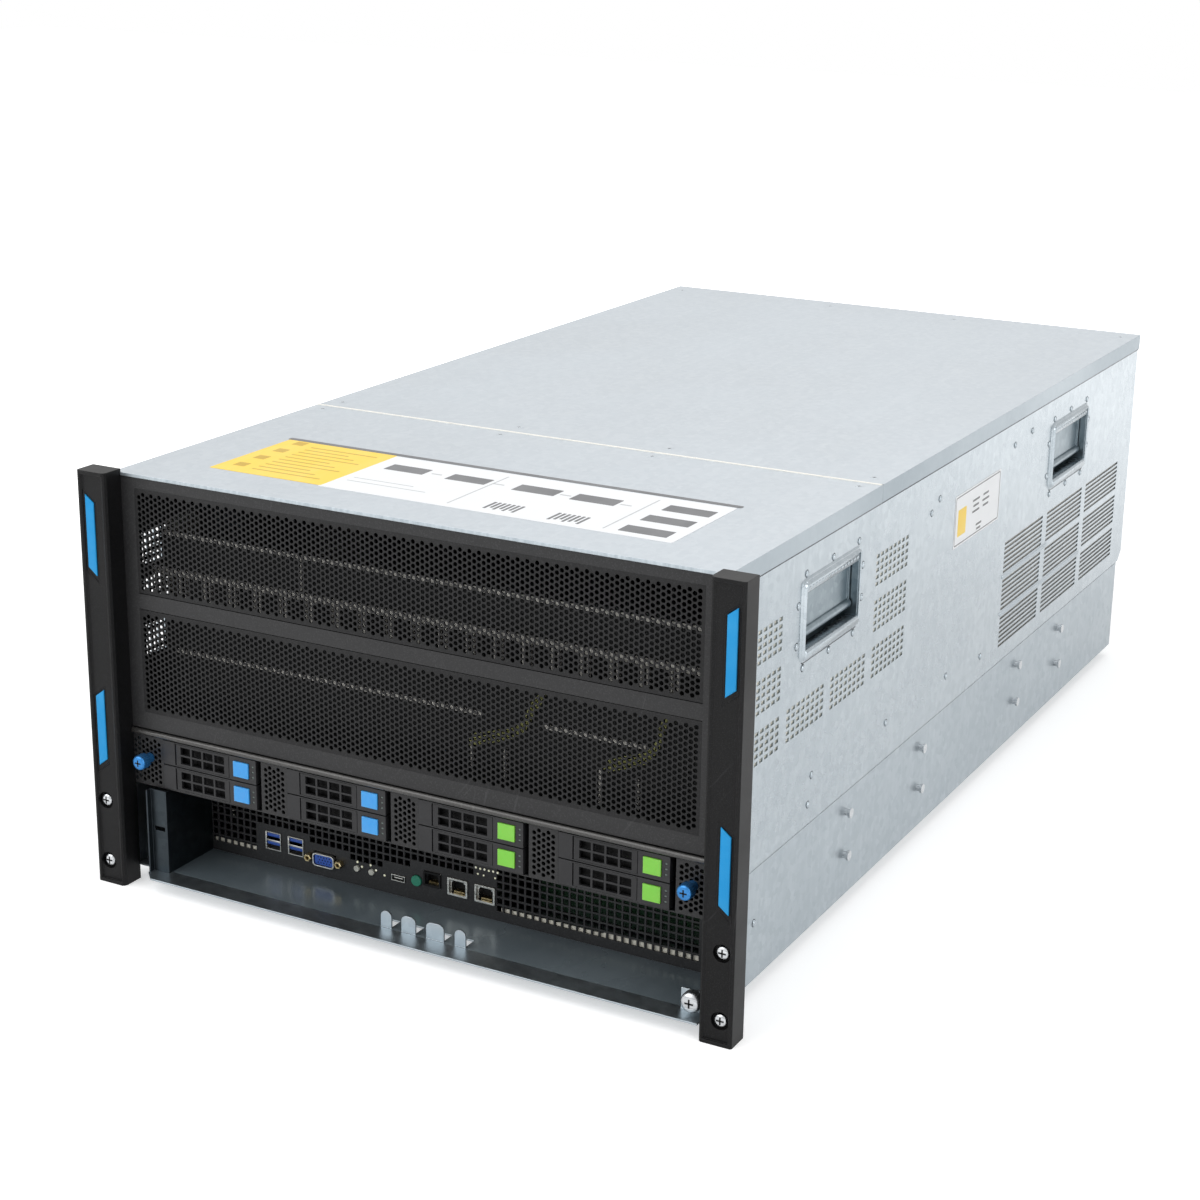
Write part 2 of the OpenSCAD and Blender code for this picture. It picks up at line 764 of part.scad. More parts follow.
module cup(cy) {
  x0 = wall_out - cup_t;
  difference() {
    union() {
      block([x0, cy - cup_w / 2, cup_z - cup_h / 2], [wall_out + cup_edge, cy + cup_w / 2, cup_z + cup_h / 2]);
      block([wall_in - sheet, cy - cup_w / 2 - cup_flange, cup_z - cup_h / 2 - cup_flange],
            [wall_in, cy + cup_w / 2 + cup_flange, cup_z + cup_h / 2 + cup_flange]);
    }
    block([x0 + cup_wall, cy - cup_w / 2 + cup_wall, cup_z - cup_h / 2 + cup_wall],
          [wall_out + cup_edge + 1, cy + cup_w / 2 - cup_wall, cup_z + cup_h / 2 - cup_wall]);
    translate([bail_x, cy - cup_w / 2 - 1, bail_pin_z]) rotate([-90, 0, 0])
      cylinder(d = bail_pin_d + 2 * pin_clear, h = cup_w + 2);
  }
}

module handle_cups() {
  color("#a9b1b6") in_frame() both_sides() for (y = [cup_front_y, cup_rear_y]) cup(y);
}

// A bail: two arms with pins in the cup's walls, a plate between them and a rolled grip below
module bail(cy) {
  translate([bail_x, cy, bail_pin_z]) {
    rotate([90, 0, 0]) translate([0, 0, -cup_w / 2]) cylinder(d = bail_pin_d, h = cup_w);
    translate([-0.8, -bail_half, -bail_drop]) cube([1.6, 2 * bail_half, bail_drop]);
    for (s = [-1, 1])
      translate([-2, s * (bail_half - 1) - 1, -bail_drop]) cube([4, 2, bail_drop]);
    translate([0, 0, -bail_drop]) rotate([90, 0, 0])
      translate([0, 0, -bail_half]) cylinder(d = 7, h = 2 * bail_half);
  }
}

module handle_1() { color("#b9c0c4") in_frame() bail(cup_front_y); }
module handle_2() { color("#b9c0c4") in_frame() bail(cup_rear_y); }
module handle_3() { color("#b9c0c4") in_frame() mirror([1, 0, 0]) bail(cup_front_y); }
module handle_4() { color("#b9c0c4") in_frame() mirror([1, 0, 0]) bail(cup_rear_y); }

// ---- Accelerators: a baseboard, two rows of finned heat sinks and the ribbed brace in front ----

brace_y = 34;
brace_top = 227;
rib_count = 17;
board_clear = 1.3;
board_half = wall_out - cup_t - board_clear;
sink_pitch = (2 * board_half - 6) / 4;
sink_w = sink_pitch - 5;
sink_d = 120;
sink_h = 92;
fin_count = 12;

module brace() {
  pitch = 2 * (panel_half - 14) / (rib_count - 1);
  facing_front(brace_y, sheet)
    difference() {
      translate([-panel_half + 8, cage_top]) square([2 * panel_half - 16, brace_top - cage_top]);
      for (i = [0 : rib_count - 2])
        translate([-panel_half + 14 + (i + 0.5) * pitch, brace_top - 29]) square([pitch - 3, 44], center = true);
      translate([-150, gpu_z0 + 8]) square([300, 56]);
    }
}

module heat_sink(x, y) {
  fin_pitch = sink_w / fin_count;
  translate([x, y + sink_d, gpu_z0 + 14]) rotate([90, 0, 0]) linear_extrude(sink_d)
    union() {
      translate([-sink_w / 2, 0]) square([sink_w, 6]);
      for (i = [0 : fin_count - 1])
        translate([-sink_w / 2 + (i + 0.5) * fin_pitch - 0.8, 0]) square([1.6, sink_h]);
    }
}

module gpu_block() {
  color("#8b9196") in_frame() {
    brace();
    block([-board_half, 330, gpu_z0 + 11], [board_half, 760, gpu_z0 + 14]);
    block([-board_half, 330, lower_h], [-board_half + 5, 760, gpu_z0 + 11]);
    block([board_half - 5, 330, lower_h], [board_half, 760, gpu_z0 + 11]);
    for (i = [0:3], j = [0, 1]) heat_sink((i - 1.5) * sink_pitch, 345 + j * 140);
  }
}

// ---- Fans ----

fan_y0 = upper_d - sheet - fan_t;
hub_d = 36;
shaft_d = 4;
blades = 7;

module fan_frame() {
  rotate([90, 0, 0]) translate([0, 0, -fan_t]) {
    linear_extrude(fan_t)
      difference() {
        round_rect(fan_size, fan_size, 4);
        circle(d = fan_bore, $fn = 64);
        for (sx = [-1, 1], sz = [-1, 1]) translate([sx, sz] * (fan_size / 2 - 5)) circle(d = 4.3);
      }
    translate([0, 0, fan_t - 4]) {
      linear_extrude(4) {
        circle(d = hub_d);
        for (a = [0, 120, 240]) rotate(a + 30) translate([0, -1.5]) square([fan_bore / 2 + 0.5, 3]);
      }
    }
    translate([0, 0, fan_t - 22]) cylinder(d = shaft_d, h = 20);
  }
}

module fan_frames() {
  color("#29292b") in_frame() {
    for (x = fan_x, z = fan_z) {
      translate([x, fan_y0, z]) fan_frame();
      translate([x, upper_d, z]) fan_grip();
    }
  }
}

module rotor(i) {
  x = fan_x[i % 3];
  z = fan_z[floor(i / 3)];
  rotor_t = fan_t - 8;
  color("#1f1f21") in_frame() translate([x, fan_y0 + fan_t - 2, z]) rotate([90, 0, 0])
    difference() {
      union() {
        cylinder(d = hub_d, h = rotor_t);
        intersection() {
          translate([0, 0, 2]) cylinder(d = fan_bore - 3, h = rotor_t - 4);
          for (b = [0 : blades - 1])
            rotate(b * 360 / blades) translate([hub_d / 2 - 2, 0, rotor_t / 2]) rotate([38, 0, 0])
              translate([0, -1, -rotor_t]) cube([fan_bore, 2, 2 * rotor_t]);
        }
      }
      translate([0, 0, -1]) cylinder(d = shaft_d + 2 * pin_clear, h = rotor_t + 2);
    }
}

module rotor_1() { rotor(0); }
module rotor_2() { rotor(1); }
module rotor_3() { rotor(2); }
module rotor_4() { rotor(3); }
module rotor_5() { rotor(4); }
module rotor_6() { rotor(5); }

// ---- Power supplies ----

module psu(i) {
  x = psu_x0 + i * psu_pitch;
  y1 = lower_d + 1;
  color("#8e979c") in_frame() {
    difference() {
      block([x - psu_w / 2, y1 - psu_d, psu_z0], [x + psu_w / 2, y1, psu_z0 + psu_h]);
      block([x - psu_w / 2 + 5, y1 - 16, psu_z0 + 7], [x - psu_w / 2 + 32, y1 + 1, psu_z0 + 27]);
      for (a = [0:3], b = [0:3])
        translate([x + 8 + a * 8, y1 + 1, psu_z0 + 8 + b * 8]) rotate([90, 0, 0]) cylinder(d = 5.5, h = 4);
    }
    translate([x, y1, psu_z0 + psu_h / 2])
      rotate([90, 0, 90]) translate([0, 0, -psu_w / 2 + 35.5]) linear_extrude(5)
        difference() {
          polygon([[0, -15], [12, -12], [12, 12], [0, 15]]);
          polygon([[-1, -11], [8.5, -8.5], [8.5, 8.5], [-1, 11]]);
        }
  }
}

module psu_1() { psu(0); }
module psu_2() { psu(1); }
module psu_3() { psu(2); }
module psu_4() { psu(3); }

// ---- Drive carriers with their release levers and buttons ----

sled_lead = 0.4;
sled_face = -0.6;
frame_t = 6;
skin = 0.75;
tab_w = 9.4;
hinge_x = tab_w + 1.9;
hinge_y = sled_face + 1.2;
lever_t = 2.4;
lever_x1 = 54.6;
lever_h = sled_h - 2 * skin - 0.4;
lever_pin_d = 1.4;
latch_w = 12;
latch_h = 10.6;
latch_x = 58.9;
latch_gap = 0.3;
window_x0 = 14.6;
window_w = 8;
window_pitch = 9.4;
window_h = 5.4;
drive_w = 69.85;
drive_t = 14.6;

// The lower front left corner of carrier i, counted along the top row and then the bottom row
function sled_at(i) = [
  bay_x[i % 4] - bay_w / 2 + sled_lead,
  0,
  bay_z0 + slip + (i < 4 ? sled_pitch_z : 0)
];

module sled(i) {
  color("#3c3c3e") in_frame() translate(sled_at(i)) {
    difference() {
      block([0, sled_face, 0], [sled_w, sled_face + frame_t, sled_h]);
      block([hinge_x - 1.5, -5, skin], [lever_x1 + 0.4, 10, sled_h - skin]);
      translate([hinge_x, hinge_y, -1]) cylinder(d = lever_pin_d + 2 * pin_clear, h = sled_h + 2);
      block([latch_x - latch_gap, -5, (sled_h - latch_h) / 2 - latch_gap],
            [latch_x + latch_w + latch_gap, 10, (sled_h + latch_h) / 2 + latch_gap]);
      block([lever_x1 + 1.6, sled_face + 2.2, 1.2], [sled_w - 1.2, 10, sled_h - 1.2]);
      for (z = [4, 7.6, 11.2]) block([sled_w - 3.6, -5, z], [sled_w - 1.8, 10, z + 1.4]);
    }
    block([(sled_w - drive_w) / 2 - 1.2, sled_face + frame_t, 0.6],
          [(sled_w + drive_w) / 2 + 1.2, sled_d, 1.4]);
    for (x = [(sled_w - drive_w) / 2 - 1.2, (sled_w + drive_w) / 2])
      block([x, sled_face + frame_t, 1.4], [x + 1.2, sled_d, sled_h - 1]);
    block([(sled_w - drive_w) / 2, sled_face + frame_t + 1.6, 1.4],
          [(sled_w + drive_w) / 2, sled_face + frame_t + 101.6, 1.4 + drive_t - 0.6]);
  }
}

module lever(i) {
  z0 = (sled_h - lever_h) / 2;
  color("#434345") in_frame() translate(sled_at(i)) {
    difference() {
      union() {
        block([hinge_x, sled_face, z0], [lever_x1, sled_face + lever_t, z0 + lever_h]);
        translate([hinge_x, hinge_y, z0]) cylinder(r = lever_t / 2, h = lever_h);
        translate([hinge_x, hinge_y, 0.1]) cylinder(d = lever_pin_d, h = sled_h - 0.2);
      }
      for (c = [0:3], r = [0, 1])
        block([window_x0 + c * window_pitch, -5, sled_h / 2 - window_h - 0.6 + r * (window_h + 1.2)],
              [window_x0 + c * window_pitch + window_w, 10, sled_h / 2 - 0.6 + r * (window_h + 1.2)]);
    }
  }
}

module latch(i) {
  color(i % 4 < 2 ? "#4aaef0" : "#86d43e") in_frame() translate(sled_at(i)) {
    block([latch_x, sled_face - 0.9, (sled_h - latch_h) / 2], [latch_x + latch_w, sled_face + 3.4, (sled_h + latch_h) / 2]);
    block([latch_x - 1, sled_face + 2.2 + slip, (sled_h - latch_h) / 2 - 1],
          [latch_x + latch_w + 1, sled_face + 3.4, (sled_h + latch_h) / 2 + 1]);
  }
}

module sled_1() { sled(0); }
module sled_2() { sled(1); }
module sled_3() { sled(2); }
module sled_4() { sled(3); }
module sled_5() { sled(4); }
module sled_6() { sled(5); }
module sled_7() { sled(6); }
module sled_8() { sled(7); }
module lever_1() { lever(0); }
module lever_2() { lever(1); }
module lever_3() { lever(2); }
module lever_4() { lever(3); }
module lever_5() { lever(4); }
module lever_6() { lever(5); }
module lever_7() { lever(6); }
module lever_8() { lever(7); }
module latch_1() { latch(0); }
module latch_2() { latch(1); }
module latch_3() { latch(2); }
module latch_4() { latch(3); }
module latch_5() { latch(4); }
module latch_6() { latch(5); }
module latch_7() { latch(6); }
module latch_8() { latch(7); }

chassis_base();
side_walls();
inner_frame();
front_cover();
rear_cover();
rear_panel();
front_panel();
gpu_grille();
drive_bezel();
io_panel();
ears();
ear_inserts();
screws();
thumbscrews();
ports();
side_studs();
handle_cups();
gpu_block();
fan_frames();
sled_1();
sled_2();
sled_3();
sled_4();
sled_5();
sled_6();
sled_7();
sled_8();
lever_1();
lever_2();
lever_3();
lever_4();
lever_5();
lever_6();
lever_7();
lever_8();
latch_1();
latch_2();
latch_3();
latch_4();
latch_5();
latch_6();
latch_7();
latch_8();
handle_1();
handle_2();
handle_3();
handle_4();
psu_1();
psu_2();
psu_3();
psu_4();
rotor_1();
rotor_2();
rotor_3();
rotor_4();
rotor_5();
rotor_6();
power_button();
id_button();
reset_button();
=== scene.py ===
import math
import random

import bmesh
import bpy
from mathutils import Matrix, Vector


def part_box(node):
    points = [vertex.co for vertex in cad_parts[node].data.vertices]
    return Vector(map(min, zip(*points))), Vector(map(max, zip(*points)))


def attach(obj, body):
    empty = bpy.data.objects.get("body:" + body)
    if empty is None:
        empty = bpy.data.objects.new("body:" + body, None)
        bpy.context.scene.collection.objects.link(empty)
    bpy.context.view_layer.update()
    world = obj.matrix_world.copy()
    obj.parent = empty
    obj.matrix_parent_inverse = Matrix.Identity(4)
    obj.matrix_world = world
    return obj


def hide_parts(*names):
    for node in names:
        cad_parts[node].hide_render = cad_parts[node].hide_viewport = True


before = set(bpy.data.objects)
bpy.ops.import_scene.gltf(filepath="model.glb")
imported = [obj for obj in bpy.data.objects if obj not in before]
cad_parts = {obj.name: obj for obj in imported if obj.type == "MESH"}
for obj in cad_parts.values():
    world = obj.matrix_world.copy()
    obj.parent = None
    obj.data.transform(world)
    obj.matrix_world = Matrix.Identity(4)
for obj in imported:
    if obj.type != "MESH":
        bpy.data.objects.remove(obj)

for left_over in ("Cube", "Light", "Camera"):
    if left_over in bpy.data.objects and left_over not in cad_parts:
        bpy.data.objects.remove(bpy.data.objects[left_over])

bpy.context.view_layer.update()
scene = bpy.context.scene
draw = random.Random(7)
MM = 0.001
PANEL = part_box("ears")[1].y
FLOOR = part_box("chassis_base")[0].z
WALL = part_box("side_walls")[1].x


def spot(x, y, z):
    """A point in millimetres from the middle, the front panel's plane and the floor's underside."""
    return Vector((x * MM, PANEL + y * MM, FLOOR + z * MM))


# ---- Colours and shader wiring ----


def tone(red, green, blue):
    """A colour given as it looks on a screen, 0 to 255, in the linear values that shaders take."""
    levels = [v / 255 for v in (red, green, blue)]
    linear = [v / 12.92 if v < 0.04 else ((v + 0.055) / 1.055) ** 2.4 for v in levels]
    return (*linear, 1.0)


def feed(tree, socket, value):
    """Joins an output socket to an input, or sets a plain value on it."""
    if isinstance(value, bpy.types.NodeSocket):
        tree.links.new(value, socket)
    else:
        socket.default_value = value


def put(tree, kind, values=None, **options):
    """Places a node: options are its own settings, values go to its input sockets."""
    node = tree.nodes.new("ShaderNode" + kind)
    for option, choice in options.items():
        setattr(node, option, choice)
    for name, value in (values or {}).items():
        feed(tree, node.inputs[name], value)
    return node


def sums(tree, operation, first, second=0.0, third=0.0, clamp=False):
    values = {0: first, 1: second, 2: third}
    return put(tree, "Math", values, operation=operation, use_clamp=clamp).outputs[0]


def times(tree, first, second):
    return sums(tree, "MULTIPLY", first, second)


def vectors(tree, operation, first, second=(0, 0, 0), scale=None):
    node = put(tree, "VectorMath", {0: first, 1: second}, operation=operation)
    if scale is not None:
        feed(tree, node.inputs["Scale"], scale)
    return node.outputs["Value" if operation in ("DOT_PRODUCT", "LENGTH") else "Vector"]


def spread(tree, value, low, high, to_low=0.0, to_high=1.0):
    """Maps a range onto another one and holds it there."""
    values = {"Value": value, "From Min": low, "From Max": high, "To Min": to_low, "To Max": to_high}
    return put(tree, "MapRange", values, clamp=True).outputs["Result"]


def blend(tree, share, first, second, how="MIX"):
    node = put(tree, "Mix", {0: share}, data_type="RGBA", blend_type=how)
    feed(tree, node.inputs[6], first)
    feed(tree, node.inputs[7], second)
    return node.outputs[2]


def blend_numbers(tree, share, first, second):
    node = put(tree, "Mix", {0: share}, data_type="FLOAT")
    feed(tree, node.inputs[2], first)
    feed(tree, node.inputs[3], second)
    return node.outputs[0]


def cloud(tree, vector, scale, detail=2.0, rough=0.5):
    values = {"Vector": vector, "Scale": scale, "Detail": detail, "Roughness": rough}
    return put(tree, "TexNoise", values).outputs


def new_group(name, takes, gives):
    """A shader group with named sockets: takes maps a name to its type and default."""
    group = bpy.data.node_groups.new(name, "ShaderNodeTree")
    for label, (kind, default) in takes.items():
        socket = group.interface.new_socket(name=label, in_out="INPUT", socket_type=kind)
        socket.default_value = default
    for label, kind in gives.items():
        group.interface.new_socket(name=label, in_out="OUTPUT", socket_type=kind)
    source = group.nodes.new("NodeGroupInput").outputs
    result = group.nodes.new("NodeGroupOutput").inputs
    here = put(group, "TexCoord").outputs["Object"]
    return group, source, result, here


FULL_TURN = 6.28
NUMBER, COLOUR, VECTOR = "NodeSocketFloat", "NodeSocketColor", "NodeSocketVector"


def spangle_group():
    """Zinc crystals: each one has its own shade and its own lie of fine feathering."""
    takes = {
        "Crystal": (NUMBER, 0.012),
        "Pale": (COLOUR, (0.6, 0.62, 0.64, 1)),
        "Deep": (COLOUR, (0.4, 0.42, 0.44, 1)),
    }
    gives = {"Colour": COLOUR, "Polish": NUMBER, "Height": NUMBER}
    group, source, result, here = new_group("zinc_spangle", takes, gives)
    size = sums(group, "DIVIDE", 1.0, source["Crystal"])
    scaled = vectors(group, "SCALE", here, scale=size)
    drift = vectors(group, "SUBTRACT", cloud(group, scaled, 1.4)["Color"], (0.5, 0.5, 0.5))
    bent = vectors(group, "ADD", scaled, vectors(group, "SCALE", drift, scale=0.9))
    cells = put(group, "TexVoronoi", {"Vector": bent, "Scale": 1.0})
    parts = put(group, "SeparateColor", {"Color": cells.outputs["Color"]}).outputs
    turn = times(group, parts["Red"], FULL_TURN)
    lie = put(group, "VectorRotate", {"Vector": scaled, "Axis": (0.6, 0.5, 0.6), "Angle": turn})
    combed = vectors(group, "MULTIPLY", lie.outputs["Vector"], (1.2, 9.0, 2.0))
    feather = cloud(group, combed, 1.0, 3.0)["Fac"]
    shade = sums(group, "MULTIPLY_ADD", feather, 0.5, times(group, parts["Green"], 0.62))
    broad = cloud(group, here, 7.0, 2.0)["Fac"]
    shade = sums(group, "MULTIPLY_ADD", broad, 0.3, sums(group, "SUBTRACT", shade, 0.2), clamp=True)
    feed(group, result["Colour"], blend(group, shade, source["Deep"], source["Pale"]))
    polish = sums(group, "MULTIPLY_ADD", parts["Blue"], 0.5, times(group, feather, 0.5))
    feed(group, result["Polish"], polish)
    feed(group, result["Height"], sums(group, "MULTIPLY_ADD", feather, 0.4, parts["Green"]))
    return group


def coat_group():
    """The fine orange peel of a sprayed or baked coat, with a mask of its dull specks."""
    takes = {"Grain": (NUMBER, 0.0008)}
    group, source, result, here = new_group("coat_grain", takes, {"Height": NUMBER, "Speck": NUMBER})
    size = sums(group, "DIVIDE", 1.0, source["Grain"])
    fine = cloud(group, here, size, 3.0, 0.6)["Fac"]
    coarse = cloud(group, here, times(group, size, 0.23), 2.0)["Fac"]
    feed(group, result["Height"], sums(group, "MULTIPLY_ADD", coarse, 0.6, fine))
    feed(group, result["Speck"], spread(group, fine, 0.52, 0.68))
    return group


def marks_group():
    """Handling: broad wiped smudges and a few thin scratches."""
    takes = {"Smudge Size": (NUMBER, 0.09)}
    gives = {"Smudge": NUMBER, "Scratch": NUMBER}
    group, source, result, here = new_group("handling_marks", takes, gives)
    size = sums(group, "DIVIDE", 1.0, source["Smudge Size"])
    wiped = cloud(group, vectors(group, "MULTIPLY", here, (1.0, 0.6, 1.6)), size, 4.0, 0.62)["Fac"]
    feed(group, result["Smudge"], spread(group, wiped, 0.38, 0.7))
    strokes = None
    for angle, stretch in ((0.5, 900.0), (-1.1, 700.0)):
        axis = {"Vector": here, "Axis": (0.3, 0.5, 0.8), "Angle": angle}
        turned = put(group, "VectorRotate", axis).outputs["Vector"]
        combed = vectors(group, "MULTIPLY", turned, (9.0, stretch, 25.0))
        line = spread(group, cloud(group, combed, 1.0, 0.0)["Fac"], 0.76, 0.82)
        strokes = line if strokes is None else sums(group, "MAXIMUM", strokes, line)
    sparse = spread(group, cloud(group, here, 18.0, 1.0)["Fac"], 0.5, 0.62)
    feed(group, result["Scratch"], times(group, strokes, sparse))
    return group


def edge_group():
    """Rounded edges in the shading, and a broken mask along them where the coat rubs thin."""
    takes = {"Radius": (NUMBER, 0.0004)}
    group, source, result, here = new_group("worn_edges", takes, {"Normal": VECTOR, "Wear": NUMBER})
    soft = put(group, "Bevel", {"Radius": source["Radius"]}, samples=4).outputs["Normal"]
    flat = put(group, "NewGeometry").outputs["Normal"]
    turn = sums(group, "SUBTRACT", 1.0, vectors(group, "DOT_PRODUCT", soft, flat))
    patches = cloud(group, here, 260.0, 3.0)["Fac"]
    feed(group, result["Normal"], soft)
    feed(group, result["Wear"], times(group, spread(group, turn, 0.02, 0.2), patches))
    return group


def brushed_group():
    """Fine straight lines left by rolling or brushing; Along stretches them."""
    takes = {"Along": (VECTOR, (20.0, 900.0, 900.0))}
    group, source, result, here = new_group("brushed_lines", takes, {"Line": NUMBER})
    combed = vectors(group, "MULTIPLY", here, source["Along"])
    feed(group, result["Line"], cloud(group, combed, 1.0, 3.0, 0.65)["Fac"])
    return group


def dust_group():
    """A thin mask of dust on faces that look up."""
    takes = {"Amount": (NUMBER, 0.3)}
    group, source, result, here = new_group("settled_dust", takes, {"Dust": NUMBER})
    normal = put(group, "NewGeometry").outputs["Normal"]
    up = put(group, "SeparateXYZ", {"Vector": normal}).outputs["Z"]
    facing = spread(group, up, 0.5, 1.0)
    patchy = spread(group, cloud(group, here, 55.0, 5.0, 0.7)["Fac"], 0.35, 0.75)
    settled = times(group, facing, patchy)
    feed(group, result["Dust"], times(group, settled, source["Amount"]))
    return group


def zone_group():
    """A mask of what lies between two corners, and one of the faces that look up."""
    takes = {"Low": (VECTOR, (-1, -1, -1)), "High": (VECTOR, (1, 1, 1))}
    group, source, result, here = new_group("zone", takes, {"Inside": NUMBER, "Upward": NUMBER})
    inwards = vectors(group, "SUBTRACT", here, source["Low"])
    above = put(group, "SeparateXYZ", {0: inwards}).outputs
    inwards = vectors(group, "SUBTRACT", source["High"], here)
    below = put(group, "SeparateXYZ", {0: inwards}).outputs
    least = sums(group, "MINIMUM", sums(group, "MINIMUM", above["X"], above["Y"]), above["Z"])
    for axis in "XYZ":
        least = sums(group, "MINIMUM", least, below[axis])
    feed(group, result["Inside"], sums(group, "GREATER_THAN", least, 0.0))
    normal = put(group, "NewGeometry").outputs["Normal"]
    up = put(group, "SeparateXYZ", {0: normal}).outputs["Z"]
    feed(group, result["Upward"], spread(group, up, 0.6, 0.9))
    return group


SPANGLE = spangle_group()
COAT = coat_group()
MARKS = marks_group()
EDGES = edge_group()
BRUSHED = brushed_group()
DUST = dust_group()
ZONE = zone_group()


def use(tree, group, values=None):
    """Places one of the groups above and returns its outputs."""
    node = tree.nodes.new("ShaderNodeGroup")
    node.node_tree = group
    for name, value in (values or {}).items():
        feed(tree, node.inputs[name], value)
    return node.outputs


def new_finish(shine=None, **constants):
    """A material with one Principled shader; constants are set straight on its sockets."""
    material = bpy.data.materials.new("finish")
    material.use_nodes = True
    skin = material.node_tree.nodes["Principled BSDF"]
    if shine is not None:
        constants["Specular_IOR_Level"] = shine
    for label, value in constants.items():
        skin.inputs[label.replace("_", " ")].default_value = value
    return material, material.node_tree, skin.inputs


def raise_surface(tree, skin, height, strength, depth, normal=None):
    bump = put(tree, "Bump", {"Height": height, "Strength": strength, "Distance": depth})
    if normal is not None:
        feed(tree, bump.inputs["Normal"], normal)
    feed(tree, skin["Normal"], bump.outputs["Normal"])


def zinc_steel(pale, deep, crystal, rough=(0.3, 0.42), streaks=(2.0, 240.0, 5.0), **zones):
    """Hot-dip galvanised sheet with rolling streaks. Of the zones, the polish zone and the capped zone
    give the corners of places with another finish, the polish zone's darker colour being a painted
    reflection, and the flank zone gives the two colours of faces that look sideways, a painted shade
    against the paler faces that look up."""
    polished, capped, flanks = (zones.get(kind) for kind in ("polished", "capped", "flanks"))
    material, tree, skin = new_finish(Metallic=1.0)
    zinc = use(tree, SPANGLE, {"Crystal": crystal, "Pale": pale, "Deep": deep})
    marks = use(tree, MARKS, {"Smudge Size": 0.11})
    edges = use(tree, EDGES, {"Radius": 0.0005})
    line = use(tree, BRUSHED, {"Along": streaks})["Line"]
    streak = spread(tree, line, 0.35, 0.65)
    colour = blend(tree, times(tree, streak, 0.4), zinc["Colour"], deep)
    colour = blend(tree, times(tree, marks["Smudge"], 0.25), colour, deep)
    colour = blend(tree, times(tree, marks["Scratch"], 0.25), colour, pale)
    colour = blend(tree, edges["Wear"], colour, pale)
    gloss = spread(tree, zinc["Polish"], 0.0, 1.0, rough[0], rough[1])
    gloss = sums(tree, "MULTIPLY_ADD", marks["Smudge"], 0.06, gloss)
    # Painted shade: faces that look sideways take the two zinc colours, darker than the colour that
    # faces looking up get.
    if flanks:
        level = use(tree, ZONE)["Upward"]
        colour = blend(tree, level, blend(tree, streak, flanks[0], flanks[1]), colour)
    # Polish zone: the lower roughness is real polish; the darker blotchy colour and the lower metallic
    # are a painted reflection of the dark port panel.
    if polished:
        zone = use(tree, ZONE, {"Low": polished[0], "High": polished[1]})
        share = times(tree, zone["Inside"], zone["Upward"])
        painted_reflection = blend(tree, marks["Smudge"], tone(112, 124, 131), tone(138, 150, 157))
        colour = blend(tree, share, colour, painted_reflection)
        mirror = sums(tree, "MULTIPLY_ADD", marks["Smudge"], 0.14, 0.2)
        gloss = blend_numbers(tree, share, gloss, mirror)
        feed(tree, skin["Metallic"], sums(tree, "MULTIPLY_ADD", share, -0.5, 1.0))
    if capped:
        zone = use(tree, ZONE, {"Low": capped[0], "High": capped[1]})
        colour = blend(tree, zone["Inside"], colour, tone(30, 30, 32))
        gloss = blend_numbers(tree, zone["Inside"], gloss, 0.5)
        feed(tree, skin["Metallic"], sums(tree, "SUBTRACT", 1.0, zone["Inside"]))
    feed(tree, skin["Base Color"], colour)
    feed(tree, skin["Roughness"], gloss)
    raise_surface(tree, skin, zinc["Height"], 0.06, 0.0001, edges["Normal"])
    return material


def coated(colour, worn, rough, grain, depth=0.25, metallic=0.0, radius=0.0004, dust=0.12, **more):
    """A sprayed coat over metal: peel, smudges, edges rubbed thin and a little dust."""
    material, tree, skin = new_finish(Metallic=metallic, **more)
    coat = use(tree, COAT, {"Grain": grain})
    marks = use(tree, MARKS)
    edges = use(tree, EDGES, {"Radius": radius})
    settled = use(tree, DUST, {"Amount": dust})["Dust"]
    shade = blend(tree, times(tree, coat["Speck"], 0.25), colour, worn)
    shade = blend(tree, times(tree, edges["Wear"], 0.55), shade, worn)
    shade = blend(tree, times(tree, marks["Scratch"], 0.18), shade, worn)
    feed(tree, skin["Base Color"], blend(tree, settled, shade, tone(150, 148, 144)))
    gloss = sums(tree, "MULTIPLY_ADD", marks["Smudge"], 0.1, rough)
    feed(tree, skin["Roughness"], sums(tree, "MULTIPLY_ADD", coat["Speck"], 0.05, gloss))
    raise_surface(tree, skin, coat["Height"], depth, grain * 0.25, edges["Normal"])
    return material


def bare_metal(colour, shadow, rough, along, radius=0.0003, **more):
    """Plated, turned or brushed metal."""
    material, tree, skin = new_finish(Metallic=1.0, **more)
    line = use(tree, BRUSHED, {"Along": along})["Line"]
    marks = use(tree, MARKS, {"Smudge Size": 0.03})
    edges = use(tree, EDGES, {"Radius": radius})
    shade = blend(tree, spread(tree, line, 0.35, 0.65), shadow, colour)
    shade = blend(tree, times(tree, marks["Smudge"], 0.2), shade, shadow)
    feed(tree, skin["Base Color"], shade)
    gloss = spread(tree, line, 0.3, 0.7, rough - 0.06, rough + 0.06)
    feed(tree, skin["Roughness"], sums(tree, "MULTIPLY_ADD", marks["Smudge"], 0.08, gloss))
    raise_surface(tree, skin, line, 0.08, 0.00008, edges["Normal"])
    return material


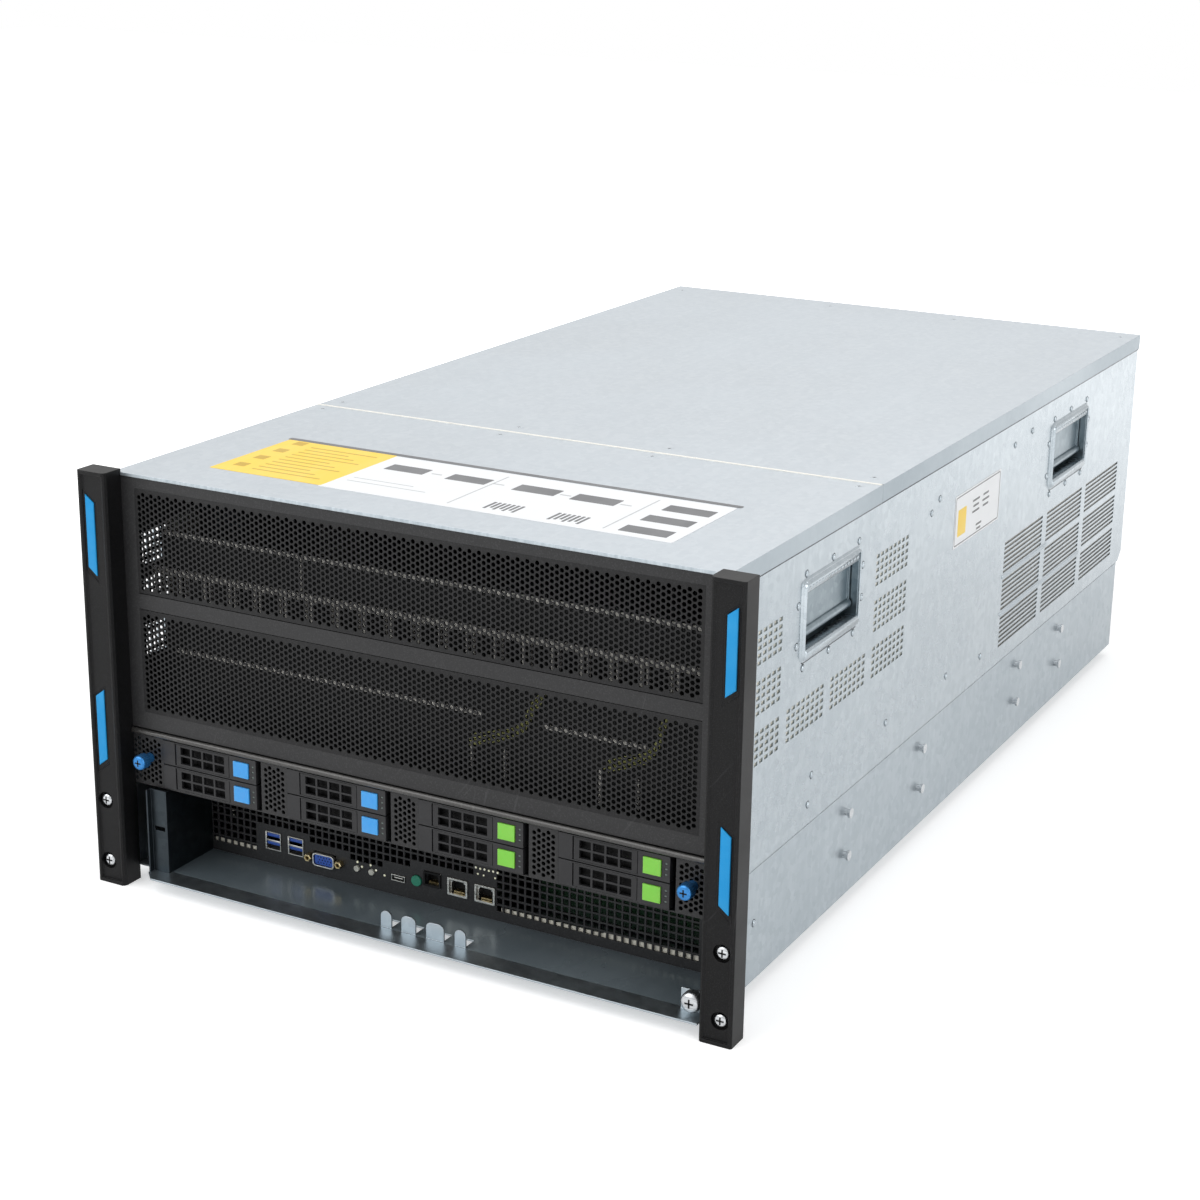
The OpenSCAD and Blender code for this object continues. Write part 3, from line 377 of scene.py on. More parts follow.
def moulded(colour, pale, rough, grain=0.0005, radius=0.0005, depth=0.12, **more):
    """Moulded plastic with a fine eroded texture and rubbed places worn to a polish."""
    material, tree, skin = new_finish(**more)
    coat = use(tree, COAT, {"Grain": grain})
    marks = use(tree, MARKS, {"Smudge Size": 0.02})
    edges = use(tree, EDGES, {"Radius": radius})
    shade = blend(tree, times(tree, edges["Wear"], 0.35), colour, pale)
    shade = blend(tree, times(tree, marks["Smudge"], 0.12), shade, pale)
    feed(tree, skin["Base Color"], shade)
    feed(tree, skin["Roughness"], sums(tree, "MULTIPLY_ADD", marks["Smudge"], -0.08, rough))
    raise_surface(tree, skin, coat["Height"], depth, grain * 0.2, edges["Normal"])
    return material


def lit(colour, strength):
    """A small indicator lens that glows unevenly."""
    material, tree, skin = new_finish(Roughness=0.3, Emission_Strength=strength)
    coat = use(tree, COAT, {"Grain": 0.0012})
    glow = blend(tree, coat["Speck"], colour, tone(255, 255, 255))
    feed(tree, skin["Emission Color"], glow)
    feed(tree, skin["Base Color"], glow)
    return material


ACROSS_X = (15.0, 1400.0, 1400.0)
ACROSS_Z = (1400.0, 1400.0, 15.0)

TRAY = (tuple(spot(-212, -1, -1)), tuple(spot(212, 44.8, 6)))
SUPPLY_BOWS = (tuple(spot(-230, 816.2, -1)), tuple(spot(230, 840, 60)))
PALE_ZINC, DEEP_ZINC = tone(178, 186, 191), tone(158, 167, 173)

FINISHES = {
    "galvanised_steel": zinc_steel(PALE_ZINC, DEEP_ZINC, 0.005, rough=(0.19, 0.28)),
    "tray_steel": zinc_steel(PALE_ZINC, DEEP_ZINC, 0.005, polished=TRAY),
    # The covers' tops are painted paler and their sideways lips darker: painted light and shade by
    # facing.
    "cover_steel": zinc_steel(
        tone(196, 201, 205), tone(184, 190, 195), 0.004, rough=(0.45, 0.54), streaks=(300.0, 3.0, 3.0),
        flanks=(PALE_ZINC, DEEP_ZINC),
    ),
    "cup_steel": zinc_steel(tone(146, 158, 164), tone(116, 128, 135), 0.005, rough=(0.24, 0.34)),
    "shadow_steel": coated(tone(30, 31, 32), tone(70, 72, 74), 0.5, 0.0009, shine=0.2),
    # A pale finish for painted highlights: the brace's bright edges and the cover seam's fold.
    "pale_edge": moulded(tone(236, 234, 226), tone(246, 245, 240), 0.36),
    "dark_zinc_steel": zinc_steel(tone(66, 73, 78), tone(50, 56, 60), 0.005, rough=(0.34, 0.44)),
    "black_coated_steel": coated(tone(40, 40, 41), tone(88, 88, 90), 0.44, 0.0009, shine=0.3),
    "grille_steel": coated(tone(23, 23, 24), tone(74, 74, 76), 0.46, 0.0009, dust=0.05, shine=0.25),
    "rolled_edge": coated(tone(48, 47, 46), tone(120, 118, 114), 0.3, 0.0009, metallic=0.3, shine=0.8),
    "black_aluminium": coated(
        tone(11, 11, 12), tone(76, 76, 78), 0.36, 0.0006, radius=0.0006, dust=0.05, shine=0.17
    ),
    "blue_insert": moulded(tone(20, 148, 214), tone(90, 190, 235), 0.42, shine=0.3),
    "bright_steel": bare_metal(tone(214, 216, 218), tone(170, 173, 176), 0.26, ACROSS_X),
    "blue_thumbscrew": coated(tone(44, 120, 186), tone(150, 200, 232), 0.3, 0.0005, metallic=0.7),
    "nickel_shell": bare_metal(tone(222, 220, 214), tone(178, 176, 170), 0.28, ACROSS_X),
    "heat_sink_aluminium": bare_metal(tone(190, 194, 197), tone(140, 144, 148), 0.34, ACROSS_Z),
    "black_plastic": moulded(tone(34, 34, 36), tone(74, 74, 76), 0.46, shine=0.35),
    "lever_plastic": moulded(tone(28, 28, 30), tone(70, 70, 72), 0.44, shine=0.35),
    "blue_latch": moulded(tone(58, 160, 236), tone(128, 196, 248), 0.36, Subsurface_Weight=0.15),
    "green_latch": moulded(tone(128, 208, 66), tone(176, 232, 120), 0.36, Subsurface_Weight=0.15),
    "supply_case": zinc_steel(
        tone(176, 182, 186), tone(150, 156, 160), 0.004, rough=(0.36, 0.46), capped=SUPPLY_BOWS
    ),
    "green_button": moulded(tone(30, 132, 104), tone(90, 190, 150), 0.32),
    "white_button": moulded(tone(198, 198, 188), tone(232, 232, 226), 0.36),
    "pale_film": moulded(tone(230, 226, 212), tone(240, 238, 230), 0.5, grain=0.002),
    "grey_film": moulded(tone(168, 164, 157), tone(186, 183, 177), 0.5, grain=0.002),
    "white_sheet": moulded(tone(232, 234, 236), tone(244, 245, 246), 0.42, grain=0.0003, depth=0.05),
    "yellow_sheet": moulded(tone(244, 206, 62), tone(248, 222, 120), 0.42, grain=0.0003, depth=0.05),
    "grey_ink": moulded(tone(104, 105, 107), tone(150, 150, 152), 0.5, grain=0.0004, depth=0.08),
    "faint_ink": moulded(tone(186, 188, 190), tone(210, 211, 212), 0.5, grain=0.0004, depth=0.08),
    "ochre_ink": moulded(tone(196, 160, 48), tone(220, 188, 90), 0.5, grain=0.0004, depth=0.08),
    "port_blue": moulded(tone(40, 84, 178), tone(90, 130, 210), 0.36),
    "brass": bare_metal(tone(214, 196, 150), tone(160, 142, 100), 0.3, ACROSS_X),
    "lamp_lens": lit(tone(226, 226, 196), 0.35),
    "dull_lens": moulded(tone(96, 108, 104), tone(150, 160, 156), 0.3, radius=0.0002),
    "circuit_board": moulded(tone(34, 66, 44), tone(90, 120, 80), 0.4, grain=0.0012, depth=0.3),
    "wire_sleeve": moulded(tone(190, 192, 120), tone(220, 222, 160), 0.4),
    # A dark zinc; the cup, seam and lip strips use it as painted shadow.
    "inner_steel": zinc_steel(tone(104, 107, 110), tone(76, 79, 82), 0.004, rough=(0.36, 0.46)),
    # Near-black used as painted shade for the flush screw slots and the plates behind the carrier
    # windows; the port liners are black plastic inside the ports.
    "recess_black": moulded(tone(16, 16, 17), tone(40, 40, 42), 0.6, shine=0.2),
}

OWN_FINISH = {"chassis_base": "tray_steel", "handle_cups": "cup_steel"}
OWN_FINISH.update({f"handle_{n}": "cup_steel" for n in range(1, 5)})

for name, material in FINISHES.items():
    material.name = name

for title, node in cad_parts.items():
    for place in node.material_slots:
        slot = place.material.name.split(".")[0] if place.material else "black_plastic"
        place.material = FINISHES[OWN_FINISH.get(title, slot)]


# ---- Shapes ----


def add_bar(bm, low, high, soft=0.0, steps=2):
    """A block between two corners, with its edges rounded by soft."""
    made = bmesh.ops.create_cube(bm, size=1.0)["verts"]
    low, high = Vector(low), Vector(high)
    for v in made:
        v.co = Vector((v.co[i] + 0.5) * (high[i] - low[i]) + low[i] for i in range(3))
    if soft:
        edges = list(dict.fromkeys(e for v in made for e in v.link_edges))
        bmesh.ops.bevel(bm, geom=edges, offset=soft, segments=steps, profile=0.5, affect="EDGES")


def add_turned(bm, profile, centre, axis="Y", sides=32):
    """A turned part. Its profile is (radius, distance along the axis, depth of its knurling), and it
    closes at radius 0."""
    frames = {
        "X": lambda a, c, s: Vector((a, c, s)),
        "Y": lambda a, c, s: Vector((c, a, s)),
        "Z": lambda a, c, s: Vector((c, s, a)),
    }
    rings = []
    for radius, along, *knurl in profile:
        if radius <= 0:
            rings.append([bm.verts.new(Vector(centre) + frames[axis](along, 0, 0))])
            continue
        turns = [2 * math.pi * i / sides for i in range(sides)]
        reach = [radius - (knurl[0] if knurl and i % 2 else 0) for i in range(sides)]
        places = [frames[axis](along, r * math.cos(t), r * math.sin(t)) for r, t in zip(reach, turns)]
        rings.append([bm.verts.new(Vector(centre) + place) for place in places])
    for near, far in zip(rings, rings[1:]):
        for i in range(sides):
            j = (i + 1) % sides
            corners = [near[i % len(near)], near[j % len(near)], far[j % len(far)], far[i % len(far)]]
            unique = list(dict.fromkeys(corners))
            if len(unique) > 2:
                bm.faces.new(unique)


def add_plate(bm, spots, faces, front, thick):
    """A flat sheet with holes: spots and faces lie in X and Z, thickened to the back."""
    near = [bm.verts.new((x, front, z)) for x, z in spots]
    far = [bm.verts.new((x, front + thick, z)) for x, z in spots]
    seen = {}
    for face in faces:
        bm.faces.new([near[i] for i in face])
        bm.faces.new([far[i] for i in reversed(face)])
        for a, b in zip(face, face[1:] + face[:1]):
            seen[(a, b)] = seen.get((a, b), 0) + 1
    for a, b in seen:
        if (b, a) not in seen:
            bm.faces.new([near[b], near[a], far[a], far[b]])


def punched_field(x0, x1, z0, z1, pitch, hole, sides=12):
    """Staggered round holes in upright columns over a rectangle, as one sheet of faces."""
    step = pitch * math.sqrt(3) / 2
    reach = pitch / math.sqrt(3)
    cols = int((x1 - x0 - reach) / step)
    rows = int((z1 - z0 - 0.2 * pitch) / pitch - 0.5)
    left = (x0 + x1 - (cols - 1) * step) / 2
    foot = (z0 + z1 - (rows - 0.5) * pitch) / 2
    spots, faces, known = [], [], {}

    def corner(x, z):
        key = (round(x * 1e7), round(z * 1e7))
        if key not in known:
            known[key] = len(spots)
            spots.append((x, z))
        return known[key]

    part = sides // 6
    for i in range(cols):
        x = left + i * step
        for j in range(rows):
            z = foot + (j + (i % 2) / 2) * pitch
            turns = [k * math.pi / 3 for k in range(6)]
            cell = [corner(x + reach * math.cos(t), z + reach * math.sin(t)) for t in turns]
            fine = [2 * math.pi * k / sides for k in range(sides)]
            ring = [corner(x + hole / 2 * math.cos(t), z + hole / 2 * math.sin(t)) for t in fine]
            for k in range(6):
                arc = [ring[(k * part + m) % sides] for m in range(part, -1, -1)]
                faces.append([cell[k], cell[(k + 1) % 6], *arc])

    def edge_row(sign):
        rim = z1 if sign > 0 else z0
        line = []
        for i in range(cols):
            x = left + i * step
            j = rows - 1 if sign > 0 else 0
            z = foot + (j + (i % 2) / 2 + sign / 2) * pitch
            line += [(x - reach / 2, z), (x + reach / 2, z)]
        for (ax, az), (bx, bz) in zip(line, line[1:]):
            faces.append([corner(ax, az), corner(bx, bz), corner(bx, rim), corner(ax, rim)][::sign])

    edge_row(1)
    edge_row(-1)
    for i, side, rim in ((0, -1, x0), (cols - 1, 1, x1)):
        x = left + i * step
        line = []
        for j in range(rows):
            z = foot + (j + (i % 2) / 2) * pitch
            line += [(x + side * reach / 2, z - pitch / 2), (x + side * reach, z)]
        line.append((x + side * reach / 2, foot + (rows - 0.5 + (i % 2) / 2) * pitch))
        for (ax, az), (bx, bz) in zip(line, line[1:]):
            faces.append([corner(ax, az), corner(rim, az), corner(rim, bz), corner(bx, bz)][::side])
        for (ex, ez), out in ((line[0], z0), (line[-1], z1)):
            turn = side if out < ez else -side
            faces.append([corner(ex, ez), corner(ex, out), corner(rim, out), corner(rim, ez)][::turn])
    return spots, faces


def add_tube(bm, path, radius, sides=12):
    """A round bar along a path of points."""
    rings = []
    for i, here in enumerate(path):
        ahead = Vector(path[min(i + 1, len(path) - 1)]) - Vector(path[max(i - 1, 0)])
        if i == 0:
            across = ahead.orthogonal().normalized()
        else:
            across = across - ahead * across.dot(ahead) / ahead.length_squared
        across.normalize()
        up = ahead.cross(across).normalized()
        turns = [2 * math.pi * k / sides for k in range(sides)]
        reach = [radius * (across * math.cos(t) + up * math.sin(t)) for t in turns]
        rings.append([bm.verts.new(Vector(here) + out) for out in reach])
    for near, far in zip(rings, rings[1:]):
        for k in range(sides):
            bm.faces.new([near[k], near[(k + 1) % sides], far[(k + 1) % sides], far[k]])
    bm.faces.new(rings[0][::-1])
    bm.faces.new(rings[-1])


def add_block(bm, low, high, soft=0.0):
    """A bar between two corners given in millimetres, as spot() takes them."""
    add_bar(bm, spot(*low), spot(*high), soft * MM)


def on_side(side, y, z):
    """Places a shape flat on a side wall; side is 1 on the right and -1 on the left."""
    base = spot(0, y, z)
    return lambda a, b, lift: Vector((side * (WALL + lift * MM), base.y + a * MM, base.z + b * MM))


def on_front(x, y, z):
    base = spot(x, y, z)
    return lambda a, b, lift: Vector((base.x + a * MM, base.y - lift * MM, base.z + b * MM))


def on_top(x, y, z):
    base = spot(x, y, z)
    return lambda a, b, lift: Vector((base.x + a * MM, base.y + b * MM, base.z + lift * MM))


def on_back(x, y, z):
    base = spot(x, y, z)
    return lambda a, b, lift: Vector((base.x - a * MM, base.y + lift * MM, base.z + b * MM))


def rounded_loop(width, height, corner, steps=5):
    """The outline of a rectangle with rounded corners, anticlockwise."""
    spots = []
    for sx, sz, start in ((1, -1, -90), (1, 1, 0), (-1, 1, 90), (-1, -1, 180)):
        for i in range(steps + 1):
            t = math.radians(start + 90 * i / steps)
            across = sx * (width / 2 - corner) + corner * math.cos(t)
            spots.append((across, sz * (height / 2 - corner) + corner * math.sin(t)))
    return spots


def add_moulding(bm, place, width, height, corner, profile, capped=False):
    """A frame round a rectangle: profile gives its section as (outwards, lift) in millimetres, and
    capped fills it in."""
    rings = []
    for out, lift in profile:
        loop = rounded_loop(width + 2 * out, height + 2 * out, max(corner + out, 0.05))
        rings.append([bm.verts.new(place(a, b, lift)) for a, b in loop])
    for near, far in zip(rings, rings[1:]):
        for i in range(len(near)):
            j = (i + 1) % len(near)
            bm.faces.new([near[i], near[j], far[j], far[i]])
    if capped:
        bm.faces.new(rings[-1])


def add_pad(bm, place, width, height, corner, low, high):
    """A thin flat pad with rounded corners, from one lift to another."""
    section = [(0, low), (0, high - 0.02), (-0.02, high)]
    add_moulding(bm, place, width, height, corner, section, True)


def make_piece(name, bm, finish, stands_for=(), smooth=35, body="chassis"):
    """Turns a shape into a piece that rides on a body, with a finish."""
    bmesh.ops.recalc_face_normals(bm, faces=bm.faces)
    mesh = bpy.data.meshes.new(name)
    bm.to_mesh(mesh)
    bm.free()
    mesh.shade_smooth()
    mesh.set_sharp_from_angle(angle=math.radians(smooth))
    mesh.materials.append(FINISHES[finish])
    made = bpy.data.objects.new(name, mesh)
    scene.collection.objects.link(made)
    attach(made, body)
    if stands_for:
        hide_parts(*stands_for)
    return made


# ---- Accelerator grilles: two closely punched sheets ----


PUNCH_PITCH = 3.9 * MM
GRILLE_HOLE, STRIP_HOLE = 3.0 * MM, 2.9 * MM


def build_grilles():
    low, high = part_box("gpu_grille")
    band = 11 * MM
    half = (high.z - low.z - band) / 2
    fields = {"grille_lower": (low.z, low.z + half), "grille_upper": (high.z - half, high.z)}
    for name, (z0, z1) in fields.items():
        bm = bmesh.new()
        spots, faces = punched_field(low.x, high.x, z0, z1, PUNCH_PITCH, GRILLE_HOLE)
        add_plate(bm, spots, faces, low.y, high.y - low.y)
        make_piece(name, bm, "grille_steel", ["gpu_grille"])


# ---- Drive bezel: rails, punched strips between the bays and the rolled upper edge ----


def build_bezel():
    low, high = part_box("drive_bezel")
    front, thick = low.y + 2.8 * MM, high.y - low.y - 2.8 * MM
    sleds = [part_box(f"sled_{i}") for i in (5, 6, 7, 8)]
    bay_w, lead, play = 81.0 * MM, 0.4 * MM, 0.3 * MM
    bay_low = sleds[0][0].z - play
    bay_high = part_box("sled_1")[1].z + play
    roll = 2 * MM
    top = high.z - roll
    starts = [low.x] + [s[0].x - lead + bay_w for s in sleds]
    ends = [s[0].x - lead for s in sleds] + [high.x]
    bm = bmesh.new()
    for x0, x1 in zip(starts, ends):
        spots, faces = punched_field(x0, x1, bay_low, bay_high, PUNCH_PITCH, STRIP_HOLE)
        add_plate(bm, spots, faces, front, thick)
    add_bar(bm, (low.x, front, low.z), (high.x, front + thick, bay_low))
    add_bar(bm, (low.x, front, bay_high), (high.x, front + thick, top))
    make_piece("bezel_sheet", bm, "black_coated_steel", ["drive_bezel"])
    bm = bmesh.new()
    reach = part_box("ears")[1].x - 23.1 * MM
    centre = (0, low.y + roll, top)
    add_turned(bm, [(0, -reach), (roll, -reach), (roll, reach), (0, reach)], centre, "X", 28)
    make_piece("bezel_roll", bm, "rolled_edge", ["drive_bezel"])


# ---- Accelerators behind the grilles: brace with painted highlight bars, painted shade plates, finned sinks, board and wiring ----


def build_accelerators():
    front = 24.0
    rib_pitch = 20.4
    # Pale bars as painted highlights: the bright double edges of the brace's ribs, its broken
    # horizontal edges and upright lines.
    bm = bmesh.new()
    for i in range(21):
        x = -209.0 + i * rib_pitch
        for edge in (-2.3, 2.3):
            add_block(bm, (x + edge - 0.8, front - 2.4, 182), (x + edge + 0.8, front, 207.5), 0.2)
    add_block(bm, (-213, front - 3.2, 206.6), (205, front, 210.8), 0.4)
    for x0, x1 in ((-205, -94), (-91.4, 205)):
        add_block(bm, (x0, front - 1.6, 233.9), (x1, front - 0.4, 236.7), 0.2)
    for x0, x1 in ((-196, 44), (88, 160)):
        add_block(bm, (x0, front - 1.8, 152.2), (x1, front - 0.4, 155.0), 0.2)
    add_block(bm, (-93.0, front - 1.4, 210), (-92.2, front - 0.2, 235), 0.15)
    for x, high, low in ((36.6, 134, 117), (61, 134, 112.6), (129, 133, 110), (154.7, 132, 112)):
        add_block(bm, (x - 1.1, front - 1.6, low), (x + 1.1, front - 0.2, high), 0.15)
    make_piece("brace_ribs", bm, "pale_edge", ["gpu_block"])

    # Near-black plates as painted shade between and below the brace's ribs.
    bm = bmesh.new()
    add_block(bm, (-205, front, 209), (205, front + 1.2, 234.8), 0.3)
    add_block(bm, (-205, front, 78), (205, front + 1.2, 182), 0.3)
    add_block(bm, (-205, front + 22, 182), (205, front + 23.2, 209), 0.3)
    make_piece("brace_shields", bm, "shadow_steel", ["gpu_block"])

    bm = bmesh.new()
    for i in range(4):
        for j in range(2):
            x, y = (i - 1.5) * 101, 345 + j * 140
            add_block(bm, (x - 48, y, 116), (x + 48, y + 120, 122), 0.5)
            for k in range(16):
                fin = x - 46.5 + k * 6.2
                add_block(bm, (fin - 0.4, y, 122), (fin + 0.4, y + 120, 208))
    make_piece("finned_sinks", bm, "heat_sink_aluminium", ["gpu_block"])

    bm = bmesh.new()
    add_block(bm, (-205, 330, 113), (205, 760, 116), 0.4)
    for i in range(4):
        add_block(bm, (-190 + i * 101, 640, 116), (-110 + i * 101, 740, 118), 0.4)
    make_piece("accelerator_board", bm, "circuit_board", ["gpu_block"])

    bm = bmesh.new()
    runs = [
        [(37.7, 133), (55, 139), (70, 143.5), (79, 152), (83, 163), (90, 172)],
        [(134, 133), (148, 139), (162, 145), (169, 154), (173, 166), (176, 176)],
    ]
    for run in runs:
        for k in range(6):
            drift = [draw.uniform(-2.6, 2.6) for _ in run]
            y = front - 3.4 - 0.7 * (k % 3)
            path = [spot(x + d, y, z + 1.3 * k + d) for (x, z), d in zip(run, drift)]
            add_tube(bm, path, 0.55 * MM, 6)
    make_piece("brace_wires", bm, "wire_sleeve", ["gpu_block"], smooth=60)


# ---- Side walls: films behind the vents, cup frames with painted shadow lines, rivets with painted shadow rings, ribs and the side label ----


SIDES = ((1, "right"), (-1, "left"))
FILM_X = 220.95


def build_vent_films():
    for side, hand in SIDES:
        bm = bmesh.new()
        fields = ((18, 82, 143, 236), (87, 151, 143, 172), (156, 220, 143, 172), (226, 290, 143, 236))
        fields = fields if side > 0 else ((46, 82, 143, 236),) + fields[1:]
        for y0, y1, z0, z1 in fields:
            add_block(bm, (side * FILM_X - 0.1, y0, z0), (side * FILM_X + 0.1, y1, z1), 0.05)
        make_piece(f"front_films_{hand}", bm, "pale_film")
        bm = bmesh.new()
        add_block(bm, (side * FILM_X - 0.1, 492, 86), (side * FILM_X + 0.1, 796, 178), 0.05)
        make_piece(f"rear_film_{hand}", bm, "grey_film")


CUPS = (153, 641)
CUP_Z = 220


def build_cup_frames():
    for side, hand in SIDES:
        bm = bmesh.new()
        for y in CUPS:
            place = on_side(side, y, CUP_Z)
            lip = [(-0.2, 0.2), (-0.1, 2.0), (0.8, 2.5), (1.6, 2.1)]
            flange = [(2.2, 1.0), (3.4, 0.7), (4.2, 0.0)]
            add_moulding(bm, place, 86, 47, 2.0, lip + flange)
            sill = on_side(side, y, CUP_Z - 22.2)
            rounds = [(0, -6.0), (0, 1.2), (-0.6, 2.4), (-1.6, 3.0)]
            add_moulding(bm, sill, 85.6, 6.4, 2.2, rounds, True)
            brow = [(0, -3), (0, 1.4), (-0.3, 1.6)]
            add_moulding(bm, on_side(side, y, CUP_Z + 20.8), 84.6, 5.0, 0.6, brow, True)
            for k in range(16):
                bead = on_side(side, y - 38 + k * 5.1, CUP_Z + 20.8)
                add_moulding(bm, bead, 3.4, 2.0, 0.9, [(0, 1.5), (0, 1.7), (-0.5, 2.0)], True)
        make_piece(f"cup_frames_{hand}", bm, "galvanised_steel")
        # Thin dark strips under the brow and under the sill are painted shadow.
        bm = bmesh.new()
        for y in CUPS:
            shade = on_side(side, y, CUP_Z + 18.05)
            add_moulding(bm, shade, 84.4, 0.6, 0.25, [(0, -14), (0, 0.9), (-0.1, 1.0)], True)
            under = on_side(side, y, CUP_Z - 27.6)
            add_moulding(bm, under, 86, 1.0, 0.4, [(0, -0.05), (0, 0.3), (-0.1, 0.4)], True)
        make_piece(f"cup_gaps_{hand}", bm, "inner_steel")


CUP_RIVETS = (
    (-40, 30), (2, 30), (44, 30), (52, 12), (52, -10),
    (40, -31), (0, -31), (-41, -31), (-52, -14), (-51, 12),
)
WALL_RIVETS = (
    (130, 91), (134, 110), (262, 104), (380, 102), (455, 95),
    (330, 237), (345, 244), (505, 249), (545, 252), (52, 40),
)


def build_rivet_heads_and_shadows():
    spots = [(c + y, CUP_Z + z) for c in CUPS for y, z in CUP_RIVETS] + list(WALL_RIVETS)
    ring = [(2.75, -0.02), (2.6, 0.07), (2.05, 0.07)]
    dome = [(2.2, 0.0), (2.1, 0.5), (1.6, 1.0), (0.8, 1.2), (0, 1.25)]
    # The dark rings round the rivets are painted contact shadow; the domes are the bright heads.
    parts = (
        ("rivet_seats", ring, "galvanised_steel", "dark_zinc_steel", 35),
        ("rivet_heads", dome, "bright_steel", "galvanised_steel", 60),
    )
    for side, hand in SIDES:
        for name, section, slot, finish, smooth in parts:
            profile = [(r * MM, (side * WALL / MM + side * t) * MM) for r, t in section]
            bm = bmesh.new()
            for y, z in spots:
                add_turned(bm, profile, spot(0, y, z), "X", 20)
            make_piece(f"{name}_{hand}", bm, finish, smooth=smooth)


SIDE_LABEL = (426, 218)


def build_side_ribs():
    """Pale pressed ribs between the rear vent rows, and the right side's label with plain blocks."""
    for side, hand in SIDES:
        bm = bmesh.new()
        for y0, y1, z in ((494, 602, 147), (494, 694, 117)):
            place = on_side(side, (y0 + y1) / 2, z)
            add_moulding(bm, place, y1 - y0, 3.4, 1.6, [(0, 0), (-0.3, 0.5), (-0.8, 0.7)], True)
        make_piece(f"side_ribs_{hand}", bm, "cover_steel")

    def sheet(name, finish, blocks, low, high):
        bm = bmesh.new()
        for y, z, width, height in blocks:
            add_pad(bm, on_side(1, y, z), width, height, 0.8, low, high)
        make_piece(name, bm, finish)

    sheet("side_label", "white_sheet", [(*SIDE_LABEL, 97, 39)], 0.0, 0.18)
    bm = bmesh.new()
    border = [(0, 0.18), (0, 0.24), (0.7, 0.24), (0.7, 0.18)]
    add_moulding(bm, on_side(1, *SIDE_LABEL), 93, 35, 1.5, border)
    make_piece("side_label_border", bm, "grey_ink")
    sheet("side_label_patch", "yellow_sheet", [(393, 216, 17, 20)], 0.16, 0.24)
    lines = [(426 + 21 * (k // 3) - 4, 226 - 4.2 * (k % 3), 15 - 3 * (k % 2), 1.6) for k in range(6)]
    lines += [(430, 206, 12, 1.6), (430, 202.6, 9, 1.6)]
    sheet("side_label_lines", "grey_ink", lines, 0.16, 0.22)


# ---- Covers: the seam's painted highlight and shadow lines, painted shadow under the cover lips, flush screws and the label with its plain blocks ----


def build_cover_details():
    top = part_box("rear_cover")[1].z
    high = (top - FLOOR) / MM
    half = (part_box("rear_cover")[1].x) / MM
    # A pale strip along the seam's fold as a painted highlight.
    bm = bmesh.new()
    add_block(bm, (-half + 0.4, 228.4, high - 0.2), (half - 0.4, 230.6, high + 0.5), 0.2)
    make_piece("cover_seam_fold", bm, "pale_edge")
    # A dark strip in the seam as painted shade.
    bm = bmesh.new()
    add_block(bm, (-half + 0.2, 230.85, high - 0.6), (half - 0.2, 231.9, high + 0.04))
    make_piece("cover_seam_gap", bm, "inner_steel")

    # Dark strips under the cover lips as painted shadow.
    bm = bmesh.new()
    for side in (-1, 1):
        for y0, y1 in ((0.5, 230.8), (231.8, 827.5)):
            low, high_x = sorted((side * (WALL / MM - 0.1), side * (WALL / MM + 0.9)))
            add_block(bm, (low, y0, high - 13.1), (high_x, y1, high - 12.1), 0.1)
    make_piece("cover_lip_gaps", bm, "inner_steel")

    def sheet(name, finish, blocks, low, top_lift, corner=0.8):
        bm = bmesh.new()
        for x0, x1, y0, y1 in blocks:
            place = on_top((x0 + x1) / 2, (y0 + y1) / 2, high)
            add_pad(bm, place, x1 - x0, y1 - y0, corner, low, top_lift)
        make_piece(name, bm, finish)

    sheet("cover_label", "white_sheet", [(-88, 167, 37, 128)], 0.0, 0.18)
    sheet("cover_label_patch", "yellow_sheet", [(-176, -87, 39, 129)], 0.0, 0.19)
    sheet("cover_label_band", "grey_ink", [(-178, 169, 129.6, 134.2)], 0.0, 0.2, 1.4)
    pictures = [(-76, -46, 95, 109), (-28, 2, 94, 108), (23, 54, 93, 108), (66, 98, 92, 107)]
    column = [(128, 161, 99, 113), (127, 160, 72, 86), (126, 159, 45, 59)]
    stripes = [(30 + k * 3.4, 32 + k * 3.4, 46 + (k % 2) * 3, 62) for k in range(7)]
    stripes += [(77 + k * 3.4, 79 + k * 3.4, 44 + (k % 3) * 2, 61) for k in range(7)]
    sheet("cover_label_blocks", "grey_ink", pictures + column + stripes, 0.16, 0.24, 0.5)
    rules = [(5, 6.2, 44, 120), (116, 117.2, 44, 120), (-80, -20, 58, 59.2), (-80, -34, 66, 67.2)]
    rules += [(56, 64, 98, 100), (100, 108, 97, 99), (-42, -34, 100, 102), (6, 14, 99, 101)]
    sheet("cover_label_rules", "faint_ink", rules, 0.16, 0.22, 0.3)
    bars = [(-150, -96 - 9 * (k % 3), 50 + k * 7.4, 51.8 + k * 7.4) for k in range(10)]
    bars += [(-167, -158, 52 + k * 22, 61 + k * 22) for k in range(4)]
    sheet("cover_label_bars", "ochre_ink", bars, 0.17, 0.23, 0.4)


# ---- Screws, thumbscrews and the tray's knob ----


def turned(bm, profile, centre, axis="Y", sides=24):
    """A turned part with its profile in millimetres, along the chassis's own depth, width or height."""
    add_turned(bm, [tuple(v * MM for v in step) for step in profile], centre, axis, sides)


def add_cross(bm, x, y, z, reach, wide, facing="Y"):
    """The two crossed slots of a screw's head, as dark bars flush with it: painted shade in place of
    the recessed slots.
    """
    for a, b in ((reach, wide), (wide, reach)):
        size = (a, 0.2, b) if facing == "Y" else (a, b, 0.05)
        add_block(bm, (x - size[0], y - size[1], z - size[2]), (x + size[0], y + size[1], z + size[2]))


